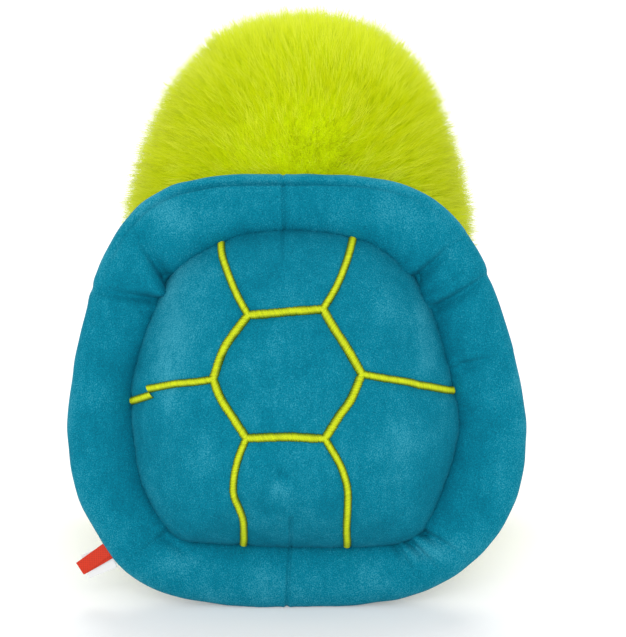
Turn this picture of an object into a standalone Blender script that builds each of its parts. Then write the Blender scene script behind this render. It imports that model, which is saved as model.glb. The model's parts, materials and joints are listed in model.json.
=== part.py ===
"""Sitting plush turtle, in metres, +Z up.

The toy sits on the floor at z = 0 and looks along -Y. Its shell is sewn on its back, towards +Y,
and its own left is +X. Every stuffed piece is a cloth cover with its fill inside.
"""

import math
from dataclasses import dataclass, replace

import bmesh
import bpy
import numpy as np
from mathutils import Matrix, Vector

# Cloth and clearances
GAP = 0.0003
PLUSH_CLOTH = 0.002
FLOOR_CUT = 0.0005
OVERRUN = 0.02
ROUND_POWER = 2.0
SHARP_DEGREES = 50.0
DIRECTION_STEP = math.radians(1)

# Torso: a pear that sits on the floor, flattened where the shell is sewn on
TORSO_CENTRE_Y = 0.003
TORSO_HALF_WIDTH = 0.094
TORSO_HALF_DEPTH = 0.097
TORSO_RISE = 0.058
TORSO_DROP = 0.0485
TORSO_RISE_POWER = 2.6
TORSO_DROP_POWER = 4.5

# Neck: a ball of fill between torso and head, its middle a little below the torso's top, where the
# head pivots
NECK_RADIUS = 0.045
NECK_CENTRE_Y = -0.010
NECK_SINK = 0.011
NECK_CLEARANCE = 0.0008
NECK_SIDES = 28
NECK_RINGS = 13

# Head: an egg, measured to the dense foot of its long pile. Its lowest point would lie a little below
# the torso's top, inside the neck's ball
HEAD_CENTRE_Y = -0.014
HEAD_SINK = 0.001
HEAD_HALF_WIDTH = 0.0925
HEAD_HALF_DEPTH = 0.089
HEAD_RISE = 0.109
HEAD_DROP = 0.090
HEAD_RISE_POWER = 2.0
HEAD_DROP_POWER = 2.3
HEAD_PINCH_SHARE = 0.4
BODY_SIDES = 24
BODY_RINGS = 9

# Muzzle: a small stuffed snout on the front of the head
MUZZLE_HALF_WIDTH = 0.036
MUZZLE_HALF_DEPTH = 0.030
MUZZLE_HALF_HEIGHT = 0.027
MUZZLE_INSET = 0.010
MUZZLE_BELOW_CENTRE = 0.020
MUZZLE_SIDES = 20
MUZZLE_RINGS = 9
NOSTRIL_HALF_WIDTH = 0.0035
NOSTRIL_HALF_HEIGHT = 0.0022
NOSTRIL_APART_DEGREES = 14.0
NOSTRIL_LATITUDE_DEGREES = 28.0
NOSTRIL_SIDES = 8
NOSTRIL_RINGS = 3
MOUTH_HALF_DEGREES = 40.0
MOUTH_LATITUDE_DEGREES = -18.0
MOUTH_CURL_DEGREES = 12.0
MOUTH_STEPS = 11
THREAD_RADIUS = 0.0012
THREAD_SIDES = 6

# Safety eyes: a plastic dome with a stem through the cloth and a washer behind it
EYE_RADIUS = 0.011
EYE_HEIGHT = 0.008
EYE_DOME_DEGREES = 80.0
EYE_DOME_STEPS = 5
EYE_FLANGE = 0.001
EYE_STANDOFF = 0.0008
EYE_STEM_RADIUS = 0.0025
EYE_STEM_LENGTH = 0.012
EYE_WASHER_RADIUS = 0.009
EYE_WASHER_THICKNESS = 0.0025
EYE_WASHER_SEAT = 0.0012
EYE_AZIMUTH_DEGREES = 60.0
EYE_LATITUDE_DEGREES = 8.0
EYE_SIDES = 16

# Belly panel: a thin oval sewn on the torso's front
BELLY_CLOTH = 0.0015
BELLY_CENTRE_Z = 0.060
BELLY_HALF_WIDTH = 0.046
BELLY_HALF_HEIGHT = 0.032
BELLY_SIDES = 24

# Pouch of pellets in the base of the torso
POUCH_RADIUS = 0.055
POUCH_HALF_HEIGHT = 0.016
POUCH_POWER = 2.6
POUCH_ROOM_POWER = 20.0
POUCH_SIDES = 20
POUCH_RINGS = 7

# Shell: a leaning oval cushion inside a puffed rim
SHELL_FOOT_STANDOFF = 0.0115
SHELL_LEAN_DEGREES = 7.0
SHELL_HALF_WIDTH = 0.125
SHELL_HEIGHT = 0.238
SHELL_MIDDLE_HEIGHT = 0.105
SHELL_SEGMENTS = 48
DOME_RISE = 0.050
DOME_EDGE_POWER = 2.2
DOME_FULLNESS = 0.6
DOME_RING_SHARES = (1.0, 0.97, 0.9, 0.76, 0.56, 0.3)
UNDERSIDE_DEPTH = 0.008
UNDERSIDE_EDGE_POWER = 6.0
UNDERSIDE_FULLNESS = 0.5
UNDERSIDE_RING_SHARES = (1.0, 0.94, 0.8, 0.55)
RIM_SIDE_WIDTH = 0.037
RIM_TOP_WIDTH = 0.0345
RIM_HALF_THICKNESS = 0.0095
RIM_POWER = 2.3
RIM_SLOT_DEGREES = 10.0
RIM_OUTER_STEPS = 9
RIM_INNER_STEPS = 7

# Half outlines, top to bottom: (share of the half width, share of the height)
RIM_OUTLINE_SHARES = (
    (0.00, 1.000),
    (0.36, 0.991),
    (0.62, 0.942),
    (0.80, 0.834),
    (0.90, 0.696),
    (0.98, 0.505),
    (1.00, 0.385),
    (0.95, 0.247),
    (0.79, 0.110),
    (0.585, 0.037),
    (0.30, 0.005),
    (0.00, 0.000),
)
DOME_OUTLINE_SHARES = (
    (0.00, 1.000),
    (0.25, 1.000),
    (0.42, 0.990),
    (0.56, 0.955),
    (0.87, 0.827),
    (0.98, 0.660),
    (1.00, 0.570),
    (0.92, 0.350),
    (0.84, 0.230),
    (0.74, 0.178),
    (0.55, 0.166),
    (0.00, 0.162),
)

# Embroidery: a hexagon with six spokes, each place as shares of the dome's half width and of its
# top's height. The shell has no mirror symmetry here, because the photographed one has none
STITCH_HALF_WIDTH = 0.0014
STITCH_HEIGHT = 0.0012
STITCH_DEPTH = 0.004
STITCH_STEPS = 2
STITCH_REACH_SHARE = 0.975
HEXAGON_SHARES = (
    (0.289, 0.817),
    (0.068, 0.824),
    (-0.153, 0.829),
    (-0.290, 0.754),
    (-0.399, 0.663),
    (-0.304, 0.580),
    (-0.174, 0.504),
    (0.055, 0.498),
    (0.289, 0.505),
    (0.409, 0.572),
    (0.496, 0.649),
    (0.422, 0.747),
)
SPOKE_SHARES = (
    ((0.289, 0.817), (0.428, 0.935), (0.459, 0.985)),
    ((-0.153, 0.829), (-0.281, 0.926), (-0.326, 0.985)),
    ((-0.399, 0.663), (-0.648, 0.647), (-0.716, 0.627), (-0.951, 0.601)),
    ((-0.174, 0.504), (-0.237, 0.447), (-0.288, 0.385), (-0.298, 0.279), (-0.312, 0.195)),
    ((0.289, 0.505), (0.353, 0.426), (0.371, 0.369), (0.355, 0.324), (0.323, 0.274), (0.330, 0.195)),
    ((0.496, 0.649), (0.849, 0.615), (0.901, 0.600), (0.965, 0.580)),
)

# Limbs: stuffed tapers that start in a thin sewn seam
LIMB_SIDES = 14
LIMB_SEAM_RADIUS = 0.0035
LIMB_SEAM_TURNS_DEGREES = (70.0, 35.0, 0.0)
LIMB_SLOT = 0.001
ARM_AZIMUTH_DEGREES = 30.0
ARM_HEIGHT = 0.078
ARM_DROOP_DEGREES = 12.0
ARM_SINK = 0.0009
ARM_LENGTH = 0.054
ARM_SEAM_HALF_WIDTH = 0.015
ARM_HALF_WIDTH = 0.018
ARM_HALF_THICKNESS = 0.013
LEG_AZIMUTH_DEGREES = 60.0
LEG_LENGTH = 0.0745
LEG_SEAM_HALF_WIDTH = 0.018
LEG_HALF_WIDTH = 0.024
LEG_HALF_THICKNESS = 0.028

# Limb sections from seam to tip: shares of (length, half width, half thickness)
LIMB_SHARES = (
    (0.10, 0.82, 0.36),
    (0.22, 0.88, 0.62),
    (0.38, 0.95, 0.85),
    (0.56, 1.00, 0.97),
    (0.72, 1.00, 1.00),
    (0.86, 0.86, 0.86),
    (0.95, 0.60, 0.60),
)

# Labels, sewn in the rim's outer seam
LABEL_ANGLE_DEGREES = -35.0
BRAND_LABEL_WIDTH = 0.008
BRAND_LABEL_LENGTH = 0.017
BRAND_LABEL_THICKNESS = 0.0010
CARE_LABEL_WIDTH = 0.014
CARE_LABEL_LENGTH = 0.015
CARE_LABEL_THICKNESS = 0.0008
CARE_LABEL_SHIFT = -0.005
CARE_LABEL_STANDOFF = 0.0006
CARE_LABEL_TURN_DEGREES = -12.0
LABEL_BEVEL_SHARE = 0.4

# Finishes: colour, roughness
LIME_FUR = (0.52, 0.69, 0.004), 0.9
LIME_PLUSH = (0.60, 0.76, 0.06), 0.9
TEAL_PLUSH = (0.006, 0.235, 0.34), 0.85
LIME_THREAD = (0.50, 0.63, 0.008), 0.5
BLACK_PLASTIC = (0.01, 0.01, 0.01), 0.15
WHITE_PLASTIC = (0.75, 0.75, 0.72), 0.4
DARK_THREAD = (0.03, 0.05, 0.02), 0.6
WHITE_FIBRE = (0.85, 0.85, 0.83), 1.0
POUCH_CLOTH = (0.70, 0.70, 0.66), 0.9
RED_RIBBON = (0.75, 0.05, 0.01), 0.6
WHITE_RIBBON = (0.80, 0.80, 0.80), 0.6

SHELL_LEAN = math.radians(SHELL_LEAN_DEGREES)
SHELL_FOOT_Y = TORSO_CENTRE_Y + TORSO_HALF_DEPTH + SHELL_FOOT_STANDOFF
DOME_HALF_WIDTH = SHELL_HALF_WIDTH - RIM_SIDE_WIDTH
DOME_TOP_HEIGHT = SHELL_HEIGHT - RIM_TOP_WIDTH
TORSO_CENTRE_Z = TORSO_DROP - FLOOR_CUT
TORSO_TOP = TORSO_CENTRE_Z + TORSO_RISE
NECK_CENTRE_Z = TORSO_TOP - NECK_SINK
HEAD_CENTRE_Z = TORSO_TOP - HEAD_SINK + HEAD_DROP
NECK_PIVOT = Vector((0, NECK_CENTRE_Y, NECK_CENTRE_Z))


@dataclass(frozen=True)
class Stuffed:
    """A stuffed round form: an oval that swells to its middle height and closes above and below."""

    centre: Vector
    half_width: float
    half_depth: float
    rise: float
    drop: float
    rise_power: float
    drop_power: float
    pinch_share: float = 0.0

    def point(self, azimuth, latitude, inset=0.0):
        """The surface point at two angles, moved inwards by inset."""
        height_share = abs(math.sin(latitude))
        rising = latitude >= 0
        power = self.rise_power if rising else self.drop_power
        radius_share = max(1 - height_share**power, 0) ** (1 / power)
        if rising:
            radius_share *= 1 - self.pinch_share * height_share * (1 - height_share) ** 2
        reach = self.rise - inset if rising else inset - self.drop
        across = (self.half_width - inset) * radius_share * math.cos(azimuth)
        along = (self.half_depth - inset) * radius_share * math.sin(azimuth)
        return self.centre + Vector((across, along, reach * height_share))

    def normal(self, azimuth, latitude):
        """The outward direction there, from two neighbouring points each way."""
        step = DIRECTION_STEP
        east = self.point(azimuth + step, latitude) - self.point(azimuth - step, latitude)
        north = self.point(azimuth, latitude + step) - self.point(azimuth, latitude - step)
        return east.cross(north).normalized()

    def latitude_at(self, height):
        """The latitude whose points lie at a given height above the floor."""
        offset = height - self.centre.z
        return math.asin(offset / (self.rise if offset >= 0 else self.drop))

    def mesh(self, sides, rings, inset=0.0):
        """The whole form as a closed mesh, moved inwards by inset."""
        latitudes = [math.pi * (k + 1) / (rings + 1) - math.pi / 2 for k in range(rings)]
        azimuths = [math.tau * k / sides for k in range(sides)]
        loops = [[self.point(a, b, inset) for a in azimuths] for b in latitudes]
        low = self.point(0, -math.pi / 2, inset)
        high = self.point(0, math.pi / 2, inset)
        return loft(loops, low, high)


def clear_scene():
    """Remove the objects of the scene that the script starts in."""
    for old in list(bpy.data.objects):
        bpy.data.objects.remove(old, do_unlink=True)


def finish_material(name, finish):
    """A Principled material from a colour and a roughness."""
    colour, roughness = finish
    material = bpy.data.materials.new(name)
    material.use_nodes = True
    shader = material.node_tree.nodes["Principled BSDF"]
    shader.inputs["Base Color"].default_value = (*colour, 1)
    shader.inputs["Roughness"].default_value = roughness
    shader.inputs["Metallic"].default_value = 0
    material.diffuse_color = (*colour, 1)
    return material


def loft(loops, start=None, end=None):
    """A closed mesh through equal loops of points; each end is a point, or flat where none is given."""
    shape = bmesh.new()
    rows = [[shape.verts.new(p) for p in loop] for loop in loops]
    count = len(rows[0])
    for lower, upper in zip(rows, rows[1:]):
        join_loops(shape, lower, upper)
    for row, tip in ((rows[0], start), (rows[-1], end)):
        if tip is None:
            shape.faces.new(row)
            continue
        apex = shape.verts.new(tip)
        for k in range(count):
            shape.faces.new((row[k], row[(k + 1) % count], apex))
    return mesh_from(shape)


def join_loops(shape, lower, upper):
    """Triangles between two loops, always along the same diagonal, so that nested skins agree."""
    count = len(lower)
    for k in range(count):
        j = (k + 1) % count
        shape.faces.new((lower[k], lower[j], upper[j]))
        shape.faces.new((lower[k], upper[j], upper[k]))


def tube_ring(loops):
    """A closed ring-shaped mesh: each loop is a section, and the last joins the first."""
    shape = bmesh.new()
    rows = [[shape.verts.new(p) for p in loop] for loop in loops]
    for one, other in zip(rows, rows[1:] + rows[:1]):
        join_loops(shape, one, other)
    return mesh_from(shape)


def mesh_from(shape):
    """Turn a bmesh into a mesh whose faces point outwards."""
    bmesh.ops.recalc_face_normals(shape, faces=shape.faces)
    mesh = bpy.data.meshes.new("form")
    shape.to_mesh(mesh)
    shape.free()
    return mesh


def joint_empty(name, matrix):
    """An empty on a joint's axis or on a sewing plane, which carries its pieces."""
    empty = bpy.data.objects.new(name, None)
    empty.matrix_world = matrix
    bpy.context.scene.collection.objects.link(empty)
    return empty


def place(name, mesh, carrier=None, in_world=False):
    """An object for a mesh; one drawn in world coordinates keeps its place under its carrier."""
    mesh.name = name
    thing = bpy.data.objects.new(name, mesh)
    bpy.context.scene.collection.objects.link(thing)
    if carrier is not None:
        thing.parent = carrier
        if in_world:
            thing.matrix_parent_inverse = carrier.matrix_world.inverted()
    return thing


def piece(name, mesh, finish, carrier=None, in_world=False):
    """A piece of the toy, with its finish, shaded smooth."""
    thing = place(name, mesh, carrier, in_world)
    thing.data.materials.append(finish_material(name + "_finish", finish))
    thing.data.shade_smooth()
    thing.data.set_sharp_from_angle(angle=math.radians(SHARP_DEGREES))
    return thing


def cutter(name, mesh, carrier=None, in_world=False):
    """A hidden form that only shapes other pieces."""
    thing = place(name, mesh, carrier, in_world)
    thing.hide_render = True
    thing.display_type = "WIRE"
    return thing


def carve(target, tool, operation="DIFFERENCE"):
    """Cut a form out of another, or keep only what both share."""
    step = target.modifiers.new(tool.name, "BOOLEAN")
    step.operation = operation
    step.solver = "EXACT"
    step.object = tool


def box_mesh(low, high):
    """A plain box between two corners."""
    corners = [(low.x, low.y), (high.x, low.y), (high.x, high.y), (low.x, high.y)]
    return loft([[(x, y, z) for x, y in corners] for z in (low.z, high.z)])


def turned(matrix, profile, sides):
    """A turned form: profile points (radius, height) round a frame's Z, both ends flat."""
    loops = []
    for radius, height in profile:
        turns = [math.tau * k / sides for k in range(sides)]
        ring = [Vector((radius * math.cos(a), radius * math.sin(a), height)) for a in turns]
        loops.append([matrix @ p for p in ring])
    return loft(loops)


def frame_along(point, direction):
    """A frame at a point whose Z runs along a direction."""
    turn = direction.to_track_quat("Z", "Y").to_matrix().to_4x4()
    return Matrix.Translation(point) @ turn


TORSO = Stuffed(
    Vector((0, TORSO_CENTRE_Y, TORSO_CENTRE_Z)),
    TORSO_HALF_WIDTH,
    TORSO_HALF_DEPTH,
    TORSO_RISE,
    TORSO_DROP,
    TORSO_RISE_POWER,
    TORSO_DROP_POWER,
)
HEAD = Stuffed(
    Vector((0, HEAD_CENTRE_Y, HEAD_CENTRE_Z)),
    HEAD_HALF_WIDTH,
    HEAD_HALF_DEPTH,
    HEAD_RISE,
    HEAD_DROP,
    HEAD_RISE_POWER,
    HEAD_DROP_POWER,
    HEAD_PINCH_SHARE,
)
MUZZLE = Stuffed(
    Vector((0, HEAD_CENTRE_Y - HEAD_HALF_DEPTH + MUZZLE_INSET, HEAD_CENTRE_Z - MUZZLE_BELOW_CENTRE)),
    MUZZLE_HALF_WIDTH,
    MUZZLE_HALF_DEPTH,
    MUZZLE_HALF_HEIGHT,
    MUZZLE_HALF_HEIGHT,
    ROUND_POWER,
    ROUND_POWER,
)
NOSTRIL = Stuffed(
    Vector(),
    NOSTRIL_HALF_WIDTH,
    NOSTRIL_HALF_HEIGHT,
    THREAD_RADIUS,
    THREAD_RADIUS,
    ROUND_POWER,
    ROUND_POWER,
)
POUCH = Stuffed(
    Vector((0, TORSO_CENTRE_Y, PLUSH_CLOTH + 2 * GAP + POUCH_HALF_HEIGHT)),
    POUCH_RADIUS,
    POUCH_RADIUS,
    POUCH_HALF_HEIGHT,
    POUCH_HALF_HEIGHT,
    POUCH_POWER,
    POUCH_POWER,
)


def neck_ball(radius):
    """The neck's ball, which is also the socket's shape at a larger radius."""
    ball = Stuffed(NECK_PIVOT, radius, radius, radius, radius, ROUND_POWER, ROUND_POWER)
    return ball.mesh(NECK_SIDES, NECK_RINGS)


def floor_block(name, top):
    """What lies below a height: it flattens the soft forms that rest on the floor."""
    reach = SHELL_HEIGHT
    return cutter(name, box_mesh(Vector((-reach, -reach, -reach)), Vector((reach, reach, top))))


def behind_plane(name, depth, shell_plane):
    """What lies on the shell's side of a plane parallel to the shell, at a depth under it."""
    reach = SHELL_HEIGHT
    low = Vector((-reach, -depth, -reach))
    return cutter(name, box_mesh(low, Vector((reach, reach, 2 * reach))), shell_plane)


def smooth_outline(half_shares, half_width, height):
    """A closed curve through a half outline and its mirror image, as arrays of angle and radius
    about the shell's middle."""
    half = [(x * half_width, y * height) for x, y in half_shares]
    points = half + [(-x, y) for x, y in half[-2:0:-1]]
    count = len(points)
    steps = [k / SHELL_SEGMENTS for k in range(SHELL_SEGMENTS)]
    curve = []
    for k in range(count):
        a, b, c, d = (np.array(points[(k + j) % count]) for j in (-1, 0, 1, 2))
        for t in steps:
            pull = (c - a) * t + (2 * a - 5 * b + 4 * c - d) * t**2 + (3 * b - a - 3 * c + d) * t**3
            curve.append(b + pull / 2)
    middle = np.array((0, SHELL_MIDDLE_HEIGHT))
    across, up = (np.array(curve) - middle).T
    angle = np.arctan2(up, across)
    order = np.argsort(angle)
    return angle[order], np.hypot(across, up)[order]


RIM_OUTLINE = smooth_outline(RIM_OUTLINE_SHARES, SHELL_HALF_WIDTH, SHELL_HEIGHT)
DOME_OUTLINE = smooth_outline(DOME_OUTLINE_SHARES, DOME_HALF_WIDTH, DOME_TOP_HEIGHT)


def outline_radius(outline, angle):
    """How far an outline lies from the shell's middle at an angle."""
    return float(np.interp(angle, outline[0], outline[1], period=math.tau))


def shell_point(angle, radius, out):
    """A point in the shell's own frame: X across, Y out of the shell, Z up along it."""
    return Vector((radius * math.cos(angle), out, SHELL_MIDDLE_HEIGHT + radius * math.sin(angle)))


def shell_angles():
    """The directions in which the shell's pieces are drawn."""
    return [math.tau * k / SHELL_SEGMENTS for k in range(SHELL_SEGMENTS)]


def dome_out(share, inset=0.0):
    """Height of the dome's outer surface at a share of the way from its middle to its edge."""
    return (DOME_RISE - inset) * max(1 - share**DOME_EDGE_POWER, 0) ** DOME_FULLNESS


def underside_out(share, inset=0.0):
    """Depth of the underside at such a share, as a negative height."""
    full = max(1 - share**UNDERSIDE_EDGE_POWER, 0) ** UNDERSIDE_FULLNESS
    return -(UNDERSIDE_DEPTH - inset) * full


def shell_loop(share, height, inset):
    """One loop of the dome or the underside, at a share of its outline."""
    radii = [outline_radius(DOME_OUTLINE, a) - inset for a in shell_angles()]
    return [shell_point(a, share * r, height) for a, r in zip(shell_angles(), radii)]


def sheet_mesh(ring_shares, surface, base, cloth):
    """A cloth bowl: its outer skin, its edge on the sewing plane and its inner skin."""
    outer = [shell_loop(s, base + surface(s, 0.0), 0.0) for s in ring_shares]
    inner = [shell_loop(s, base + surface(s, cloth), cloth) for s in ring_shares]
    middle_outer = shell_point(0, 0, base + surface(0.0, 0.0))
    middle_inner = shell_point(0, 0, base + surface(0.0, cloth))
    return loft(inner[::-1] + outer, middle_inner, middle_outer)


def shell_fill_mesh():
    """The fill between the dome and the underside, one gap inside both."""
    inset = PLUSH_CLOTH + GAP
    upper = [shell_loop(s, dome_out(s, inset), inset) for s in DOME_RING_SHARES]
    lower = [shell_loop(s, underside_out(s, inset) - GAP, inset) for s in UNDERSIDE_RING_SHARES]
    top = shell_point(0, 0, dome_out(0.0, inset))
    bottom = shell_point(0, 0, underside_out(0.0, inset) - GAP)
    return loft(lower[::-1] + upper, bottom, top)


def rim_section(angle, turns, inset):
    """Points of the rim's section at an angle round the shell, in the order of the given turns."""
    inner = outline_radius(DOME_OUTLINE, angle) + GAP
    outer = outline_radius(RIM_OUTLINE, angle)
    middle = (inner + outer) / 2
    reach = (outer - inner) / 2 - inset
    points = []
    for turn in turns:
        across, out = math.cos(turn), math.sin(turn)
        across = math.copysign(abs(across) ** (2 / RIM_POWER), across)
        out = math.copysign(abs(out) ** (2 / RIM_POWER), out)
        height = (RIM_HALF_THICKNESS - inset) * out
        points.append(shell_point(angle, middle + reach * across, height))
    return points


def spread(first, last, count):
    """Evenly spaced values from first to last."""
    return [first + (last - first) * k / (count - 1) for k in range(count)]


def rim_cover_mesh():
    """The rim's cloth: a ring with a C section, open to the inside."""
    open_half = math.radians(RIM_SLOT_DEGREES)
    outer_turns = spread(open_half - math.pi, math.pi - open_half, RIM_OUTER_STEPS)
    inner_turns = spread(math.pi - open_half, open_half - math.pi, RIM_INNER_STEPS)
    loops = []
    for angle in shell_angles():
        outer = rim_section(angle, outer_turns, 0.0)
        loops.append(outer + rim_section(angle, inner_turns, PLUSH_CLOTH))
    return tube_ring(loops)


def rim_fill_mesh():
    """The rim's fill, one gap inside its cloth."""
    open_half = math.radians(RIM_SLOT_DEGREES)
    turns = spread(math.pi - open_half, open_half - math.pi, RIM_INNER_STEPS)
    inset = PLUSH_CLOTH + 2 * GAP
    return tube_ring([rim_section(a, turns, inset) for a in shell_angles()])


def dome_surface(angle, share):
    """A point on the dome at an angle and at a share of the way to its edge."""
    return shell_point(angle, share * outline_radius(DOME_OUTLINE, angle), dome_out(share))


def dome_place(shares):
    """The point and the outward direction on the dome, at shares of its half width and height."""
    across = shares[0] * DOME_HALF_WIDTH
    up = shares[1] * DOME_TOP_HEIGHT - SHELL_MIDDLE_HEIGHT
    angle = math.atan2(up, across)
    share = math.hypot(across, up) / outline_radius(DOME_OUTLINE, angle)
    share = min(share, STITCH_REACH_SHARE)
    step = DIRECTION_STEP
    along_edge = dome_surface(angle + step, share) - dome_surface(angle - step, share)
    to_edge = dome_surface(angle, share + step) - dome_surface(angle, share - step)
    return dome_surface(angle, share), to_edge.cross(along_edge).normalized()


def stitch_route(corners, closed):
    """A line of embroidery over the dome, with points added between its corners."""
    ends = corners[1:] + corners[:1] if closed else corners[1:]
    route = []
    for start, end in zip(corners, ends):
        for k in range(STITCH_STEPS):
            t = k / STITCH_STEPS
            route.append(tuple(a + (b - a) * t for a, b in zip(start, end)))
    return route if closed else route + [corners[-1]]


def stitch_mesh(corners, closed):
    """A ridge of satin stitch along a route: its foot goes below the dome and is cut away."""
    route = [dome_place(s) for s in stitch_route(list(corners), closed)]
    count = len(route)
    loops = []
    for k, (point, out) in enumerate(route):
        ahead = route[(k + 1) % count] if closed else route[min(k + 1, count - 1)]
        behind = route[k - 1] if closed else route[max(k - 1, 0)]
        side = (ahead[0] - behind[0]).cross(out).normalized() * STITCH_HALF_WIDTH
        low = point - out * STITCH_DEPTH
        high = point + out * STITCH_HEIGHT
        loops.append([low - side, low + side, point + side, high, point - side])
    return tube_ring(loops) if closed else loft(loops)


def add_shell():
    """The shell's covers, fills and embroidery, on the plane that leans against the back."""
    plane = joint_empty(
        "shell_plane",
        Matrix.Translation((0, SHELL_FOOT_Y, -FLOOR_CUT)) @ Matrix.Rotation(SHELL_LEAN, 4, "X"),
    )
    rim = piece("shell_rim_cover", rim_cover_mesh(), TEAL_PLUSH, plane)
    carve(rim, floor_block("floor_under_rim", 0.0))
    piece("shell_rim_stuffing", rim_fill_mesh(), WHITE_FIBRE, plane)
    dome = sheet_mesh(DOME_RING_SHARES, dome_out, 0.0, PLUSH_CLOTH)
    piece("shell_dome_cover", dome, TEAL_PLUSH, plane)
    under = sheet_mesh(UNDERSIDE_RING_SHARES, underside_out, -GAP, PLUSH_CLOTH)
    piece("shell_underside", under, TEAL_PLUSH, plane)
    piece("shell_stuffing", shell_fill_mesh(), WHITE_FIBRE, plane)
    add_embroidery(plane)
    add_labels(plane)
    return plane


def add_embroidery(plane):
    """The hexagon and its spokes, which lie on the dome with a gap under them."""
    clear = [shell_loop(s, dome_out(s, -GAP), -GAP) for s in DOME_RING_SHARES]
    foot = shell_loop(1.0, -DOME_RISE, -GAP)
    top = shell_point(0, 0, dome_out(0.0, -GAP))
    dome = cutter("dome_under_stitches", loft([foot] + clear, None, top), plane)
    hexagon = piece("embroidery_hexagon", stitch_mesh(HEXAGON_SHARES, True), LIME_THREAD, plane)
    carve(hexagon, dome)
    around = cutter("hexagon_clearance", widened_hexagon_mesh(), plane)
    for number, corners in enumerate(SPOKE_SHARES, 1):
        spoke = piece(f"embroidery_spoke_{number}", stitch_mesh(corners, False), LIME_THREAD, plane)
        carve(spoke, dome)
        carve(spoke, around)


def widened_hexagon_mesh():
    """A prism over the hexagon and its stitches, which the spokes stop short of."""
    corners = [dome_place(shares)[0] for shares in HEXAGON_SHARES]
    middle = sum(corners, Vector()) / len(corners)
    widened = []
    for corner in corners:
        outward = Vector((corner.x - middle.x, 0, corner.z - middle.z)).normalized()
        widened.append(corner + outward * 2 * (STITCH_HALF_WIDTH + GAP))
    return loft([[Vector((c.x, out, c.z)) for c in widened] for out in (0.0, 2 * DOME_RISE)])


def label_mesh(width, length, thickness):
    """A flat folded label with a rounded root on its seam, drawn along Y from the seam."""
    half = thickness / 2
    bevel = half * LABEL_BEVEL_SHARE
    sections = (
        (-half, half - bevel),
        (-half + bevel, half),
        (length - bevel, half),
        (length, half - bevel),
    )
    loops = []
    for along, rise in sections:
        corners = ((-1, -1), (1, -1), (1, 1), (-1, 1))
        loops.append([Vector((x * width / 2, along, z * rise)) for x, z in corners])
    return loft(loops)


def add_labels(plane):
    """The two labels that stick out of the rim's outer seam."""
    angle = math.radians(LABEL_ANGLE_DEGREES)
    seam = outline_radius(RIM_OUTLINE, angle) + GAP + BRAND_LABEL_THICKNESS
    away = Vector((math.cos(angle), 0, math.sin(angle)))
    out = Vector((0, 1, 0))
    along_seam = away.cross(out)
    turn = Matrix((along_seam, away, out)).transposed().to_4x4()
    local = Matrix.Translation(shell_point(angle, seam, 0)) @ turn
    hinge = joint_empty("label_seam", plane.matrix_world @ local)
    brand = label_mesh(BRAND_LABEL_WIDTH, BRAND_LABEL_LENGTH, BRAND_LABEL_THICKNESS)
    brand.transform(Matrix.Translation((0, 0, (BRAND_LABEL_THICKNESS + GAP) / 2)))
    piece("brand_label", brand, RED_RIBBON, hinge)
    care = label_mesh(CARE_LABEL_WIDTH, CARE_LABEL_LENGTH, CARE_LABEL_THICKNESS)
    care.transform(Matrix.Rotation(math.radians(CARE_LABEL_TURN_DEGREES), 4, "Z"))
    below = -(CARE_LABEL_THICKNESS + GAP) / 2
    care.transform(Matrix.Translation((CARE_LABEL_SHIFT, CARE_LABEL_STANDOFF, below)))
    piece("care_label", care, WHITE_RIBBON, hinge)


def stuffed_pair(form, cover_name, fill_name, finish, carrier, sides, rings):
    """A hollow cover with its fill, for a round form; the fill lies one gap inside."""
    cover = piece(cover_name, form.mesh(sides, rings), finish, carrier, True)
    inside = cutter(cover_name + "_inside", form.mesh(sides, rings, PLUSH_CLOTH), carrier, True)
    fill_mesh = form.mesh(sides, rings, PLUSH_CLOTH + GAP)
    fill = piece(fill_name, fill_mesh, WHITE_FIBRE, carrier, True)
    return cover, inside, fill


def add_torso(shell_plane, socket):
    """The torso's cover, fill, pellet pouch and belly panel."""
    cover, inside, fill = stuffed_pair(
        TORSO, "body_cover", "body_stuffing", LIME_FUR, None, BODY_SIDES, BODY_RINGS
    )
    back = UNDERSIDE_DEPTH + 2 * GAP
    for target, inset in ((cover, 0.0), (inside, PLUSH_CLOTH), (fill, PLUSH_CLOTH + GAP)):
        carve(target, floor_block(target.name + "_floor", inset))
        carve(target, behind_plane(target.name + "_back", back + inset, shell_plane))
    carve(cover, inside)
    carve(cover, socket)
    carve(fill, socket)
    piece("pellet_pouch", POUCH.mesh(POUCH_SIDES, POUCH_RINGS), POUCH_CLOTH)
    room = cutter("pouch_room", pouch_room_mesh())
    carve(fill, room)
    add_belly_panel()


def pouch_room_mesh():
    """The hollow that the pouch fills, which runs straight down out of the fill's foot."""
    room = replace(POUCH, drop=POUCH_HALF_HEIGHT + OVERRUN, drop_power=POUCH_ROOM_POWER)
    return room.mesh(POUCH_SIDES, POUCH_RINGS, -GAP)


def add_belly_panel():
    """An oval of thin cloth on the torso's front, one gap off the cover."""
    panel_mesh = TORSO.mesh(BODY_SIDES, BODY_RINGS, -(GAP + BELLY_CLOTH))
    panel = piece("belly_panel", panel_mesh, LIME_PLUSH)
    turns = [math.tau * k / BELLY_SIDES for k in range(BELLY_SIDES)]
    oval = [(BELLY_HALF_WIDTH * math.cos(a), BELLY_HALF_HEIGHT * math.sin(a)) for a in turns]
    front = TORSO_CENTRE_Y - TORSO_HALF_DEPTH - OVERRUN
    loops = [[Vector((x, y, BELLY_CENTRE_Z + z)) for x, z in oval] for y in (front, 0.0)]
    carve(panel, cutter("belly_outline", loft(loops)), "INTERSECT")
    carve(panel, cutter("belly_back", TORSO.mesh(BODY_SIDES, BODY_RINGS, -GAP)))


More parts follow.
